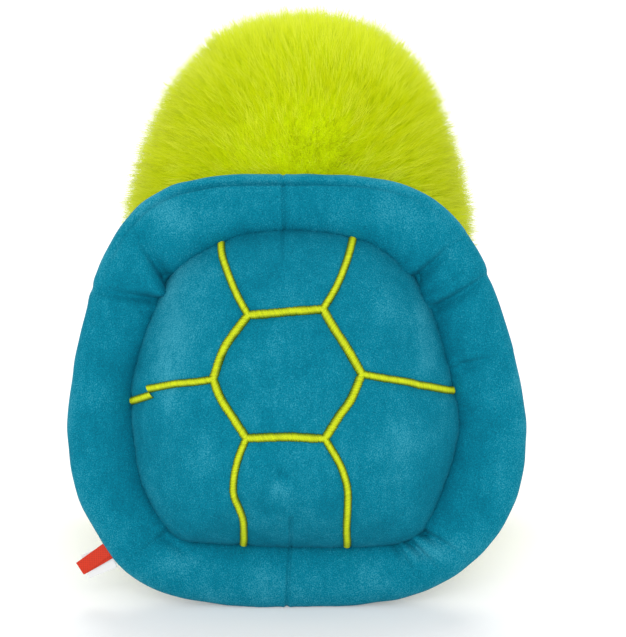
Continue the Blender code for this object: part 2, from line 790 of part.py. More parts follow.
def add_head(neck, socket):
    """The head's cover and fill, the muzzle, and the features of the face."""
    cover, inside, fill = stuffed_pair(
        HEAD, "head_cover", "head_stuffing", LIME_FUR, neck, BODY_SIDES, BODY_RINGS
    )
    carve(cover, inside)
    carve(cover, socket)
    carve(fill, socket)
    near_head = cutter("head_clearance", HEAD.mesh(BODY_SIDES, BODY_RINGS, -GAP), neck, True)
    add_muzzle(neck, near_head)
    for side, name in ((1, "left"), (-1, "right")):
        add_eye(neck, cover, fill, side, name)


def add_muzzle(neck, near_head):
    """The stuffed snout, open towards the head, with its stitched nostrils and mouth."""
    cover, inside, fill = stuffed_pair(
        MUZZLE, "muzzle_cover", "muzzle_stuffing", LIME_PLUSH, neck, MUZZLE_SIDES, MUZZLE_RINGS
    )
    carve(cover, inside)
    carve(cover, near_head)
    carve(fill, near_head)
    near_muzzle = MUZZLE.mesh(MUZZLE_SIDES, MUZZLE_RINGS, -GAP)
    clear = cutter("muzzle_clearance", near_muzzle, neck, True)
    front = -math.pi / 2
    for side, name in ((1, "left"), (-1, "right")):
        azimuth = front + side * math.radians(NOSTRIL_APART_DEGREES)
        latitude = math.radians(NOSTRIL_LATITUDE_DEGREES)
        bead = NOSTRIL.mesh(NOSTRIL_SIDES, NOSTRIL_RINGS)
        bead.transform(frame_along(MUZZLE.point(azimuth, latitude), MUZZLE.normal(azimuth, latitude)))
        nostril = piece("nostril_" + name, bead, DARK_THREAD, neck, True)
        carve(nostril, clear)
    mouth = piece("mouth_embroidery", mouth_mesh(front), DARK_THREAD, neck, True)
    carve(mouth, clear)


def mouth_mesh(front):
    """A smile of satin stitch round the front of the muzzle."""
    half = math.radians(MOUTH_HALF_DEGREES)
    turns = spread(-half, half, MOUTH_STEPS)
    loops = []
    for turn in turns:
        curl = math.radians(MOUTH_CURL_DEGREES) * (turn / half) ** 2
        latitude = math.radians(MOUTH_LATITUDE_DEGREES) + curl
        point = MUZZLE.point(front + turn, latitude)
        out = MUZZLE.normal(front + turn, latitude)
        up = Vector((0, 0, 1)).cross(out).normalized().cross(out)
        angles = [math.tau * k / THREAD_SIDES for k in range(THREAD_SIDES)]
        loops.append([point + (up * math.cos(a) + out * math.sin(a)) * THREAD_RADIUS for a in angles])
    return loft(loops)


def add_eye(neck, cover, fill, side, name):
    """One safety eye: its dome and stem, its washer, and the room that they take."""
    azimuth = math.radians(-EYE_AZIMUTH_DEGREES if side > 0 else EYE_AZIMUTH_DEGREES - 180)
    latitude = math.radians(EYE_LATITUDE_DEGREES)
    seat = HEAD.point(azimuth, latitude, -EYE_STANDOFF)
    frame = frame_along(seat, HEAD.normal(azimuth, latitude))
    dome = [
        (EYE_RADIUS * math.cos(a), EYE_FLANGE + EYE_HEIGHT * math.sin(a))
        for a in spread(0.0, math.radians(EYE_DOME_DEGREES), EYE_DOME_STEPS)
    ]
    stem = [(EYE_STEM_RADIUS, -EYE_STEM_LENGTH), (EYE_STEM_RADIUS, 0.0), (EYE_RADIUS, 0.0)]
    piece("eye_" + name, turned(frame, stem + dome, EYE_SIDES), BLACK_PLASTIC, neck, True)
    washer_top = -PLUSH_CLOTH - EYE_STANDOFF - EYE_WASHER_SEAT
    washer_low = washer_top - EYE_WASHER_THICKNESS
    washer_mesh = turned(
        frame, ((EYE_WASHER_RADIUS, washer_low), (EYE_WASHER_RADIUS, washer_top)), EYE_SIDES
    )
    washer = piece("eye_washer_" + name, washer_mesh, WHITE_PLASTIC, neck, True)
    bore = EYE_STEM_RADIUS + GAP
    hole_mesh = turned(frame, ((bore, -EYE_STEM_LENGTH - OVERRUN), (bore, OVERRUN)), EYE_SIDES)
    hole = cutter("eye_hole_" + name, hole_mesh, neck, True)
    carve(cover, hole)
    carve(washer, hole)
    room = EYE_WASHER_RADIUS + GAP
    room_mesh = turned(frame, ((room, -EYE_STEM_LENGTH - GAP), (room, OVERRUN)), EYE_SIDES)
    carve(fill, cutter("eye_room_" + name, room_mesh, neck, True))


@dataclass(frozen=True)
class Limb:
    """A stuffed taper that leaves the torso's side level or drooping, from a thin sewn seam."""

    kind: str
    azimuth: float
    height: float
    droop: float
    sink: float
    length: float
    seam_half_width: float
    half_width: float
    half_thickness: float

    def seam(self, side):
        """The frame of its hinge on the torso: X along the seam, Y out along the limb."""
        azimuth = -self.azimuth if side > 0 else self.azimuth - math.pi
        latitude = TORSO.latitude_at(self.height)
        stand_off = LIMB_SEAM_RADIUS + GAP - self.sink
        seat = TORSO.point(azimuth, latitude) + TORSO.normal(azimuth, latitude) * stand_off
        level = Vector((math.cos(azimuth), math.sin(azimuth), 0))
        along = level * math.cos(self.droop) - Vector((0, 0, math.sin(self.droop)))
        hinge_axis = along.cross(Vector((0, 0, 1))).normalized()
        turn = Matrix((hinge_axis, along, hinge_axis.cross(along))).transposed().to_4x4()
        return Matrix.Translation(seat) @ turn

    def section(self, along, half_x, half_z):
        """One oval section at a distance along it."""
        turns = [math.tau * k / LIMB_SIDES for k in range(LIMB_SIDES)]
        return [Vector((half_x * math.cos(a), along, half_z * math.sin(a))) for a in turns]

    def mesh(self, inset, slotted):
        """The limb from its seam on, moved inwards by inset. A slotted one runs out through the
        seam, as the inside of the cover does; the cover itself is rounded there."""
        seam_x = self.seam_half_width - inset
        loops = []
        if slotted:
            loops = [self.section(y, seam_x, LIMB_SLOT) for y in (-OVERRUN, 0.0)]
        elif inset == 0:
            for degrees in LIMB_SEAM_TURNS_DEGREES:
                turn = math.radians(degrees)
                back = -LIMB_SEAM_RADIUS * math.sin(turn)
                loops.append(self.section(back, seam_x, LIMB_SEAM_RADIUS * math.cos(turn)))
        reach = self.length - inset
        for along, wide, thick in LIMB_SHARES:
            half_x = wide * self.half_width - inset
            loops.append(self.section(along * reach, half_x, thick * self.half_thickness - inset))
        return loft(loops, None, Vector((0, reach, 0)))


ARM = Limb(
    "arm",
    math.radians(ARM_AZIMUTH_DEGREES),
    ARM_HEIGHT,
    math.radians(ARM_DROOP_DEGREES),
    ARM_SINK,
    ARM_LENGTH,
    ARM_SEAM_HALF_WIDTH,
    ARM_HALF_WIDTH,
    ARM_HALF_THICKNESS,
)
LEG = Limb(
    "leg",
    math.radians(LEG_AZIMUTH_DEGREES),
    LEG_HALF_THICKNESS - FLOOR_CUT,
    0.0,
    0.0,
    LEG_LENGTH,
    LEG_SEAM_HALF_WIDTH,
    LEG_HALF_WIDTH,
    LEG_HALF_THICKNESS,
)


def add_limb(limb, side, name):
    """One limb on its hinge: its cover, the hollow in it and its fill."""
    label = f"{limb.kind}_{name}"
    hinge = joint_empty(label + "_seam", limb.seam(side))
    cover = piece(label + "_cover", limb.mesh(0.0, False), LIME_FUR, hinge)
    inside = cutter(label + "_inside", limb.mesh(PLUSH_CLOTH, True), hinge)
    carve(cover, inside)
    fill = piece(label + "_stuffing", limb.mesh(PLUSH_CLOTH + GAP, False), WHITE_FIBRE, hinge)
    return cover, inside, fill


def add_limbs():
    """Two arms at the shoulders, and two legs flattened where they lie on the floor."""
    for side, name in ((1, "left"), (-1, "right")):
        add_limb(ARM, side, name)
        for solid, inset in zip(add_limb(LEG, side, name), (0.0, PLUSH_CLOTH, PLUSH_CLOTH + GAP)):
            carve(solid, floor_block(solid.name + "_floor", inset))


def build():
    """Make every piece, from the shell forwards."""
    clear_scene()
    shell_plane = add_shell()
    neck = joint_empty("neck_pivot", Matrix.Translation(NECK_PIVOT))
    socket = cutter("neck_socket", neck_ball(NECK_RADIUS + NECK_CLEARANCE), neck, True)
    piece("neck_wad", neck_ball(NECK_RADIUS), LIME_FUR, neck, True)
    add_torso(shell_plane, socket)
    add_head(neck, socket)
    add_limbs()


build()
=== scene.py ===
"""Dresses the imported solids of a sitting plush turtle: shell, satin stitch, long pile, face."""

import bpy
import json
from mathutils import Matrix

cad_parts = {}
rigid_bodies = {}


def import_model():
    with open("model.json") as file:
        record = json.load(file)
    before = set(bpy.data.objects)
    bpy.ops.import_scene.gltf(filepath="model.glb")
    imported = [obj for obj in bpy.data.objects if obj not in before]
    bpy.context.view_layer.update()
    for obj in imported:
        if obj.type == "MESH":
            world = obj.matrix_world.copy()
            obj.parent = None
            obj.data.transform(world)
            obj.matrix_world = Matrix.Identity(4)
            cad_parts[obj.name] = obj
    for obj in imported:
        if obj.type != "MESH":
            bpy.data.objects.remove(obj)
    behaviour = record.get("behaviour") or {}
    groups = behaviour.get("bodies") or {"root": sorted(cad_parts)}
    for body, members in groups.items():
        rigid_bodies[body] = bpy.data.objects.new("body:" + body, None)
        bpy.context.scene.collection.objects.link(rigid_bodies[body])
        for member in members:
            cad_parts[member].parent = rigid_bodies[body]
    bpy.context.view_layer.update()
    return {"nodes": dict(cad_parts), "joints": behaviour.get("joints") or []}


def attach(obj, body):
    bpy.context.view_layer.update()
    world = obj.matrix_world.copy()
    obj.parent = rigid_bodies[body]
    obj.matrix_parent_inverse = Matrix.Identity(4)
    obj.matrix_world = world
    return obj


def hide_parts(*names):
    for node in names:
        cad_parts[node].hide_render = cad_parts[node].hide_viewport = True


bl_info = {
    "name": "Plush turtle",
    "version": (1, 0, 0),
    "blender": (4, 5, 0),
    "location": "View3D > Sidebar > Plush turtle",
    "description": "Dresses the packed solids of a sitting plush turtle as cloth, pile and thread",
    "category": "Object",
}

import json
import math
from dataclasses import dataclass

import bmesh
import bpy
import numpy as np
from bpy.props import FloatProperty, FloatVectorProperty, IntProperty, PointerProperty
from mathutils import Matrix, Vector
from mathutils.bvhtree import BVHTree

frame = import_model()
SIDES = ("left", "right")

# The shell's place: its sewing plane leans against the toy's back
SHELL_FOOT = np.array((0.0, 0.1115, -0.0005))

# Outlines: (share of the half width, share of the height). The rim's half outline, top to bottom
RIM_OUTLINE = (
    (0.00, 1.000),
    (0.36, 0.991),
    (0.62, 0.942),
    (0.80, 0.834),
    (0.90, 0.696),
    (0.98, 0.505),
    (1.00, 0.385),
    (0.95, 0.247),
    (0.79, 0.110),
    (0.585, 0.037),
    (0.30, 0.005),
    (0.00, 0.000),
)
# The cushion's seam, all the way round
DOME_OUTLINE = (
    (0.05, 1.025),
    (0.34, 1.01),
    (0.61, 0.955),
    (0.76, 0.89),
    (0.90, 0.765),
    (1.00, 0.64),
    (1.025, 0.56),
    (1.015, 0.465),
    (0.97, 0.35),
    (0.88, 0.26),
    (0.74, 0.19),
    (0.51, 0.175),
    (0.04, 0.165),
    (-0.55, 0.17),
    (-0.78, 0.21),
    (-0.89, 0.31),
    (-0.98, 0.43),
    (-1.00, 0.54),
    (-0.90, 0.745),
    (-0.79, 0.86),
    (-0.66, 0.935),
    (-0.48, 0.99),
    (-0.26, 1.015),
)

# Embroidered lines, as shares of the cushion's half width and of its top's height. The hexagon's
# corners go round from the upper left one, each with the points on the way to the next
HEXAGON = (
    ((0.27, 0.815), (0.39, 0.75), (0.44, 0.71)),
    ((0.49, 0.65), (0.445, 0.60), (0.38, 0.555)),
    ((0.30, 0.50), (0.07, 0.505)),
    ((-0.17, 0.50), (-0.26, 0.56), (-0.33, 0.60)),
    ((-0.40, 0.665), (-0.32, 0.73), (-0.24, 0.785)),
    ((-0.18, 0.83), (0.00, 0.825)),
)
# For each spoke, the corner it leaves and its strokes: two are sewn in two strokes with a step
SPOKES = (
    (0, ((0.34, 0.87), (0.395, 0.925), (0.425, 0.965), (0.43, 1.01))),
    (5, ((-0.265, 0.885), (-0.33, 0.945), (-0.375, 1.00), (-0.38, 1.01))),
    (
        4,
        ((-0.55, 0.65), (-0.69, 0.635), (-0.75, 0.625)),
        ((-0.735, 0.627), (-0.82, 0.617), (-0.98, 0.592)),
    ),
    (3, ((-0.25, 0.44), (-0.29, 0.395), (-0.31, 0.345), (-0.305, 0.24), (-0.315, 0.175))),
    (
        2,
        ((0.345, 0.45), (0.375, 0.395), (0.38, 0.345), (0.35, 0.305), (0.325, 0.26), (0.33, 0.17)),
    ),
    (
        1,
        ((0.61, 0.64), (0.74, 0.63), (0.90, 0.61)),
        ((0.87, 0.598), (0.955, 0.58), (1.015, 0.565)),
    ),
)

# Creases, in metres on the shell's own plane: start, end, half width, depth, and the side of the
# line on which the cloth stands up in a fold: 1 left, -1 right, 0 both alike
RIM_CREASES = (
    ((0.0665, 0.1785), (0.0815, 0.2030), 0.0032, 0.0066, -1),
    ((0.0715, 0.1700), (0.1100, 0.1765), 0.0024, 0.0046, 0),
    ((-0.0645, 0.1815), (-0.0870, 0.2010), 0.0030, 0.0062, -1),
    ((-0.0800, 0.1690), (-0.1080, 0.1850), 0.0026, 0.0056, -1),
    ((-0.0930, 0.1365), (-0.1110, 0.1405), 0.0024, 0.0030, -1),
    ((0.0036, 0.2390), (0.0036, 0.2060), 0.0009, 0.0013, 0),
    ((0.0034, 0.0350), (0.0030, 0.0000), 0.0009, 0.0011, 0),
    ((0.0690, 0.0390), (0.0560, 0.0300), 0.0024, 0.0020, -1),
    ((0.0720, 0.0420), (0.0900, 0.0280), 0.0034, 0.0018, 1),
    ((-0.0620, 0.0380), (-0.0740, 0.0270), 0.0022, 0.0050, -1),
    ((-0.0680, 0.0440), (-0.0860, 0.0340), 0.0024, 0.0048, -1),
    ((-0.0560, 0.0350), (-0.0640, 0.0220), 0.0022, 0.0034, -1),
    ((0.0930, 0.1150), (0.1120, 0.1170), 0.0040, 0.0009, 0),
    ((0.0920, 0.0760), (0.1120, 0.0700), 0.0044, 0.0009, 0),
)
DOME_CREASES = (
    ((0.0045, 0.2080), (0.0047, 0.1950), 0.0008, 0.0010, 0),
    ((0.0031, 0.0340), (0.0030, 0.0560), 0.0009, 0.0009, 0),
    ((0.0075, 0.0822), (0.0020, 0.0775), 0.0028, 0.0012, 1),
    ((0.0100, 0.0775), (0.0125, 0.0700), 0.0030, 0.0011, -1),
)

# Painted sheen: places where the cloth is coloured lighter, as where its brushed nap catches the
# light; a strength below 0 paints shade. Middle, half size both ways, how strongly
DOME_PAINTED_SHEEN = (
    ((0.064, 0.164), (0.010, 0.030), 1.0),
    ((0.068, 0.128), (0.009, 0.016), 0.8),
    ((0.048, 0.174), (0.008, 0.020), 0.4),
    ((0.048, 0.094), (0.006, 0.014), 0.4),
    ((-0.071, 0.148), (0.006, 0.027), 0.8),
    ((-0.051, 0.173), (0.009, 0.014), 0.4),
    ((-0.053, 0.104), (0.016, 0.016), 0.4),
    ((0.027, 0.057), (0.007, 0.007), 0.4),
    ((0.010, 0.073), (0.005, 0.006), 0.7),
    ((0.007, 0.082), (0.004, 0.003), -0.8),
)
RIM_PAINTED_SHEEN = (
    ((0.059, 0.215), (0.018, 0.009), 0.6),
    ((-0.056, 0.217), (0.016, 0.008), 0.5),
    ((0.066, 0.030), (0.013, 0.009), 0.8),
    ((-0.073, 0.033), (0.018, 0.008), 1.1),
    ((-0.110, 0.078), (0.006, 0.020), 0.3),
    ((0.000, 0.016), (0.070, 0.013), 0.45),
)


def screen_colour(red, green, blue):
    """A colour read as screen values from 0 to 255, in Blender's linear values."""
    shares = np.array((red, green, blue)) / 255
    return tuple(np.where(shares <= 0.04045, shares / 12.92, ((shares + 0.055) / 1.055) ** 2.4))


def length(name, description, default):
    """A property for a length in metres."""
    return FloatProperty(
        name=name, description=description, default=default, subtype="DISTANCE", unit="LENGTH"
    )


def angle(name, description, degrees):
    """A property for an angle, whose default is given in degrees."""
    return FloatProperty(
        name=name,
        description=description,
        default=math.radians(degrees),
        subtype="ANGLE",
        unit="ROTATION",
    )


def colour(name, description, red, green, blue):
    """A property for a colour, whose default is given in screen values."""
    return FloatVectorProperty(
        name=name,
        description=description,
        default=screen_colour(red, green, blue),
        size=3,
        min=0.0,
        max=1.0,
        subtype="COLOR",
    )


def share(name, description, default):
    """A property for a plain number from 0 up."""
    return FloatProperty(name=name, description=description, default=default, min=0.0)


class ShellSizes(bpy.types.PropertyGroup):
    """Sizes and colours of the shell's cushion, rim and underside."""

    lean: angle("Lean", "How far the shell leans forward against the back", 7.0)
    half_width: length("Half width", "Half the shell's width over the rim", 0.125)
    height: length("Height", "The shell's height along its own plane", 0.238)
    middle: length("Middle height", "Height of the point that the outlines are drawn round", 0.105)
    sway: length("Sway", "How far the shell's top leans to the toy's left", 0.0038)
    dome_half_width: length("Dome half width", "Half the cushion's width at its seam", 0.088)
    dome_top: length("Dome top height", "Height of the cushion's upper seam", 0.2035)
    dome_rise: length("Dome rise", "How far the cushion stands out of its plane", 0.050)
    rim_thickness: length("Rim half thickness", "Half the puffed rim's thickness", 0.0095)
    underside_depth: length("Underside depth", "How far the panel under the shell bulges", 0.008)
    seam_tuck: length("Seam tuck", "How far cushion and rim run into their seam", 0.0022)
    stitch_sink: length("Stitch sink", "How far the embroidery pulls the cushion in", 0.0014)
    pressure: share("Fill pressure", "Air pressure that puffs the cloth between its seams", 4.0)
    swell: length("Most swell", "The most that a point moves as the cloth puffs", 0.0022)
    cloth: colour("Cloth", "Teal short-pile plush", 0, 123, 147)
    # The dark and lit colours give the cloth its random brushed tone, and also carry painted shade
    # and painted sheen
    cloth_brushed_and_shaded: colour("Brushed cloth", "The plush where its nap lies the other way", 0, 99, 122)
    cloth_light: colour("Lit nap", "The same plush where its nap catches light", 62, 158, 180)


class StitchSizes(bpy.types.PropertyGroup):
    """Sizes and colours of the satin stitch."""

    half_width: length("Half width", "Half the width of a band of satin stitch", 0.0025)
    hexagon: share("Hexagon's width", "Width of the hexagon's band as a share of a spoke's", 1.22)
    height: length("Height", "Height of a band over the cloth", 0.0019)
    pitch: length("Pitch", "Distance from thread to thread", 0.00042)
    thread: length("Thread radius", "Radius of one thread", 0.00028)
    slant: angle("Slant", "How far the threads lean along the band", 24.0)
    # The thread's colour turns to painted shade towards its ends, where it dives into the cloth
    lit: colour("Thread", "Lime thread where it turns up", 204, 218, 10)
    low: colour("Thread's ends", "Lime thread where it dives into the cloth", 70, 104, 2)
    dark: colour("Face thread", "Thread of the mouth and the nostrils", 58, 72, 30)


class PileSizes(bpy.types.PropertyGroup):
    """Sizes and colours of the long pile."""

    head_length: length("Head pile", "Length of the head's pile", 0.0115)
    body_length: length("Body pile", "Length of the torso's pile", 0.0110)
    limb_length: length("Limb pile", "Length of the limbs' pile", 0.0095)
    strand: share("Strand share", "Radius of a strand as a share of its length", 0.0118)
    spacing: length("Tuft spacing", "Least distance between two tufts", 0.0015)
    seed: IntProperty(name="Seed", description="Seed of everything random in the pile", default=7)
    tip: colour("Tip", "Lime pile at its tips", 240, 253, 2)
    pale: colour("Pale tip", "Lime pile at the tips of its palest locks", 250, 255, 88)
    # The root colour, darker than the tips, paints shade deep in the pile
    root: colour("Root", "Lime pile at its foot", 208, 230, 2)
    panel: colour("Short pile", "Lime short-pile cloth of muzzle and belly", 206, 224, 70)


class FaceSizes(bpy.types.PropertyGroup):
    """Sizes and colours of eyes, muzzle and labels."""

    eye_radius: length("Eye radius", "Radius of an eye", 0.011)
    eye_rise: length("Eye rise", "Height of an eye over its flange", 0.008)
    eye: colour("Eye", "Plastic of the eyes", 14, 12, 12)
    brand_width: length("Red label width", "Width of the folded red label", 0.008)
    brand_length: length("Red label length", "Length of the folded red label", 0.017)
    care_width: length("White label width", "Width of the white label", 0.014)
    care_length: length("White label length", "Length of the white label", 0.015)
    brand: colour("Red label", "Orange-red woven ribbon", 206, 46, 10)
    care: colour("White label", "White ribbon", 232, 234, 236)


class StageSizes(bpy.types.PropertyGroup):
    """Camera and light."""

    distance: length("Camera distance", "Distance from the camera to what it looks at", 1.5)
    elevation: angle("Camera elevation", "Height of the camera over the horizon", 14.0)
    focal: share("Focal length", "Focal length of the lens in millimetres", 150.05)
    key: share("Key light", "Strength of the large light beside the camera", 1.65)
    fill: share("Side lights", "Strength of each of the lights beside the toy", 0.35)
    top: share("Top light", "Strength of the light over the toy", 1.5)
    front: share("Front light", "Strength of the faint light before the toy", 0.6)
    around: share("Light all round", "Strength of the even light from the world", 0.53)
    floor: colour("Floor", "Plain pale floor", 235, 235, 235)


GROUPS = {
    "turtle_shell": ShellSizes,
    "turtle_stitch": StitchSizes,
    "turtle_pile": PileSizes,
    "turtle_face": FaceSizes,
    "turtle_stage": StageSizes,
}


# Meshes


def link(name, mesh, material):
    """A new object for a mesh, smooth and with its material."""
    piece = bpy.data.objects.new(name, mesh)
    bpy.context.scene.collection.objects.link(piece)
    mesh.materials.append(material)
    mesh.shade_smooth()
    return piece


def closed_mesh(name, rows, low=None, high=None, ring=False):
    """A closed mesh through equal rows: poles close its ends, or its last row meets its first."""
    rows = np.asarray(rows, float)
    count, sides = rows.shape[:2]
    spans = count if ring else count - 1
    a = (np.arange(spans)[:, None] * sides + np.arange(sides)).ravel()
    step = (np.arange(spans)[:, None] * sides + (np.arange(sides) + 1) % sides).ravel()
    total = count * sides
    faces = np.stack((a, step, (step + sides) % total, (a + sides) % total), 1).tolist()
    places = rows.reshape(-1, 3)
    for row, pole in ((0, low), (count - 1, high)):
        if pole is not None:
            tip = len(places)
            places = np.vstack((places, pole))
            around = row * sides + np.arange(sides)
            faces += [(int(i), int(j), tip) for i, j in zip(around, np.roll(around, -1))]
    mesh = bpy.data.meshes.new(name)
    mesh.from_pydata(places.tolist(), [], faces)
    shape = bmesh.new()
    shape.from_mesh(mesh)
    bmesh.ops.recalc_face_normals(shape, faces=shape.faces)
    shape.to_mesh(mesh)
    shape.free()
    return mesh


def places_of(mesh):
    """A mesh's vertices as an array."""
    flat = np.empty(len(mesh.vertices) * 3)
    mesh.vertices.foreach_get("co", flat)
    return flat.reshape(-1, 3)


def normals_of(mesh):
    """The outward directions at a mesh's vertices as an array."""
    flat = np.empty(len(mesh.vertices) * 3)
    mesh.vertex_normals.foreach_get("vector", flat)
    return flat.reshape(-1, 3)


def set_places(mesh, places):
    """Move a mesh's vertices to an array's places."""
    mesh.vertices.foreach_set("co", np.asarray(places, float).ravel())
    mesh.update()


def surface_of(mesh):
    """A mesh's surface, to find places on."""
    return BVHTree.FromPolygons(places_of(mesh).tolist(), [p.vertices for p in mesh.polygons])


def keep_off_floor(mesh, least):
    """Raise what lies lower than a least height to it."""
    places = places_of(mesh)
    places[:, 2] = np.maximum(places[:, 2], least)
    set_places(mesh, places)


def give(mesh, name, values, kind="FLOAT"):
    """Store one value for each vertex."""
    attribute = mesh.attributes.new(name, kind, "POINT")
    key = "vector" if kind == "FLOAT_VECTOR" else "value"
    attribute.data.foreach_set(key, np.asarray(values, float).ravel())


def hump(value, middle, width):
    """1 at a middle, and less and less over a width to either side of it."""
    return np.exp(-(((value - middle) / width) ** 2))


def unevenness(places, size, seed, waves=9):
    """Smooth random heights from about -1 to 1, in lumps of about a size."""
    rng = np.random.default_rng(seed)
    total = np.zeros(len(places))
    for _ in range(waves):
        direction = rng.normal(size=places.shape[1])
        direction *= rng.uniform(0.6, 1.5) * math.pi / (size * np.linalg.norm(direction))
        total += np.sin(places @ direction + rng.uniform(0, math.tau))
    return total / math.sqrt(waves)


def crease_depth(flat, creases):
    """How far creases press in at places (across, up) of the shell's plane."""
    depth = np.zeros(len(flat))
    for start, end, half_width, deep, side in creases:
        start, run = np.array(start), np.subtract(end, start)
        seam = half_width < 0.001
        along = np.clip(((flat - start) @ run) / (run @ run), 0 if seam else -0.15, 1)
        off = flat - start - along[:, None] * run
        left = (run[0] * off[:, 1] - run[1] * off[:, 0]) > 0
        off = np.linalg.norm(off, axis=1) / half_width
        steep = left == (side > 0) if side else np.zeros(len(flat), bool)
        fade = 1 - (0.0 if seam else 0.8) * np.abs(along)
        line = hump(off, 0, np.where(steep, 0.55, 1.5 if side else 1.0))
        fold = hump(off, 2.2, 1.3) * (steep if side else 0.7)
        depth += deep * fade * (line - 0.45 * fold)
    return depth


def painted_sheen_and_shade(flat, patches):
    """How much painted sheen lightens places of the shell's plane; patches of negative strength
    paint shade.
    """
    total = np.zeros(len(flat))
    for middle, half_size, strength in patches:
        total += strength * np.exp(-np.sum(((flat - middle) / half_size) ** 2, axis=1))
    return total


def inflated(mesh, pinned, pressure, most):
    """How far each vertex moves when cloth between pinned vertices is blown up, at most so far."""
    rest = places_of(mesh)
    scene = bpy.context.scene
    trial = bpy.data.objects.new("trial", mesh.copy())
    scene.collection.objects.link(trial)
    held = trial.vertex_groups.new(name="seams")
    held.add([int(i) for i in pinned], 1.0, "REPLACE")
    cloth = trial.modifiers.new("cloth", "CLOTH")
    settings = cloth.settings
    settings.quality = 6
    settings.mass = 0.15
    settings.vertex_group_mass = "seams"
    settings.use_pressure = True
    settings.uniform_pressure_force = pressure
    settings.effector_weights.gravity = 0
    cloth.point_cache.frame_start = 1
    cloth.point_cache.frame_end = 20
    for number in range(1, 21):
        scene.frame_set(number)
    puffed = trial.evaluated_get(bpy.context.evaluated_depsgraph_get()).to_mesh()
    moved = places_of(puffed) - rest
    scene.frame_set(1)
    bpy.data.objects.remove(trial, do_unlink=True)
    far = np.linalg.norm(moved, axis=1, keepdims=True)
    return moved * np.minimum(1, most / np.maximum(far, 1e-9))


def refined(field, rows, columns, ring=False):
    """A coarse grid's vectors at a finer grid's places; columns go all round, and rows may."""
    field = np.concatenate((field, field[:, :1]), 1)
    if ring:
        field = np.concatenate((field, field[:1]), 0)
    r = np.linspace(0, field.shape[0] - 1, rows + ring)[:rows]
    c = np.linspace(0, field.shape[1] - 1, columns + 1)[:-1]
    r0 = np.minimum(r.astype(int), field.shape[0] - 2)
    c0 = np.minimum(c.astype(int), field.shape[1] - 2)
    fr, fc = (r - r0)[:, None, None], (c - c0)[None, :, None]
    top = field[r0][:, c0] * (1 - fc) + field[r0][:, c0 + 1] * fc
    low = field[r0 + 1][:, c0] * (1 - fc) + field[r0 + 1][:, c0 + 1] * fc
    return top * (1 - fr) + low * fr


# Materials


class Finish:
    """A Principled material under construction."""

    def __init__(self, name, **sockets):
        self.material = bpy.data.materials.new(name)
        self.material.use_nodes = True
        self.tree = self.material.node_tree
        self.shader = self.tree.nodes["Principled BSDF"]
        for socket, value in sockets.items():
            self.put(self.shader.inputs[socket.replace("_", " ")], value)

    def put(self, socket, value):
        """Join a socket to another, or give it a value."""
        if isinstance(value, bpy.types.NodeSocket):
            self.tree.links.new(value, socket)
        elif hasattr(value, "__len__") and len(value) == 3 and socket.type == "RGBA":
            socket.default_value = (*value, 1)
        else:
            socket.default_value = value

    def node(self, kind, inputs=(), output=0, **settings):
        """A node with its settings and inputs, by name or number; returns one of its outputs."""
        made = self.tree.nodes.new("ShaderNode" + kind)
        for key, value in settings.items():
            setattr(made, key, value)
        for key, value in dict(inputs).items():
            self.put(made.inputs[key], value)
        return made.outputs[output]

    def lumps(self, size, detail=2.0, stretch=(1, 1, 1)):
        """Noise whose lumps are about so large, in metres."""
        place = self.node("TexCoord", output=3)
        place = self.node("Mapping", {"Vector": place, "Scale": stretch})
        inputs = {"Vector": place, "Scale": 1 / size, "Detail": detail, "Roughness": 0.6}
        return self.node("TexNoise", inputs)

    def ramp(self, value, *stops):
        """Colours at shares of a value."""
        made = self.tree.nodes.new("ShaderNodeValToRGB")
        self.put(made.inputs[0], value)
        while len(made.color_ramp.elements) < len(stops):
            made.color_ramp.elements.new(0.5)
        for element, (place, tint) in zip(made.color_ramp.elements, stops):
            element.position = place
            element.color = (*tint, 1) if hasattr(tint, "__len__") else (tint, tint, tint, 1)
        return made.outputs[0]

    def sum(self, *terms):
        """A weighted sum of values: (value, weight) each."""
        total = 0.0
        for value, weight in terms:
            inputs = {0: value, 1: weight, 2: total}
            total = self.node("Math", inputs, operation="MULTIPLY_ADD")
        return total

    def blend(self, share_of, one, other, mode="MIX"):
        """A colour between two."""
        made = self.tree.nodes.new("ShaderNodeMix")
        made.data_type = "RGBA"
        made.blend_type = mode
        for number, value in ((0, share_of), (6, one), (7, other)):
            self.put(made.inputs[number], value)
        return made.outputs[2]

    def bump(self, height, depth):
        """Press a height into the shader's normal, so many metres deep."""
        inputs = {"Height": height, "Distance": depth, "Strength": 1.0}
        self.put(self.shader.inputs["Normal"], self.node("Bump", inputs))

    def done(self, **sockets):
        """Join the shader's sockets and return the material."""
        for socket, value in sockets.items():
            self.put(self.shader.inputs[socket.replace("_", " ")], value)
        return self.material


def short_pile_finish(name, middle, dark, light, size=1.0):
    """Short-pile plush: brushed patches, short strokes of nap, a soft sheen, and painted sheen and
    shade from the stored nap values.
    """
    finish = Finish(
        name,
        Roughness=0.9,
        Specular_IOR_Level=0.09,
        Sheen_Weight=0.05,
        Sheen_Roughness=0.3,
        Sheen_Tint=tuple(0.1 + 0.9 * x for x in light),
    )
    patches = finish.lumps(0.022 * size, 2.0)
    strokes = finish.lumps(0.0040 * size, 2.0, (1, 1, 0.4))
    nap = finish.lumps(0.0006, 1.0)
    # The stored nap values are painted sheen and painted shade: they push the colour towards the
    # lit or the dark end
    lit = finish.node("Attribute", output=2, attribute_name="nap")
    look = finish.sum((patches, 0.25), (strokes, 0.15), (nap, 0.60), (lit, 0.15))
    tint = finish.ramp(look, (0.34, dark), (0.54, middle), (0.76, light))
    height = finish.sum((strokes, 0.3), (nap, 0.7))
    finish.bump(height, 0.0004)
    return finish.done(Base_Color=tint)


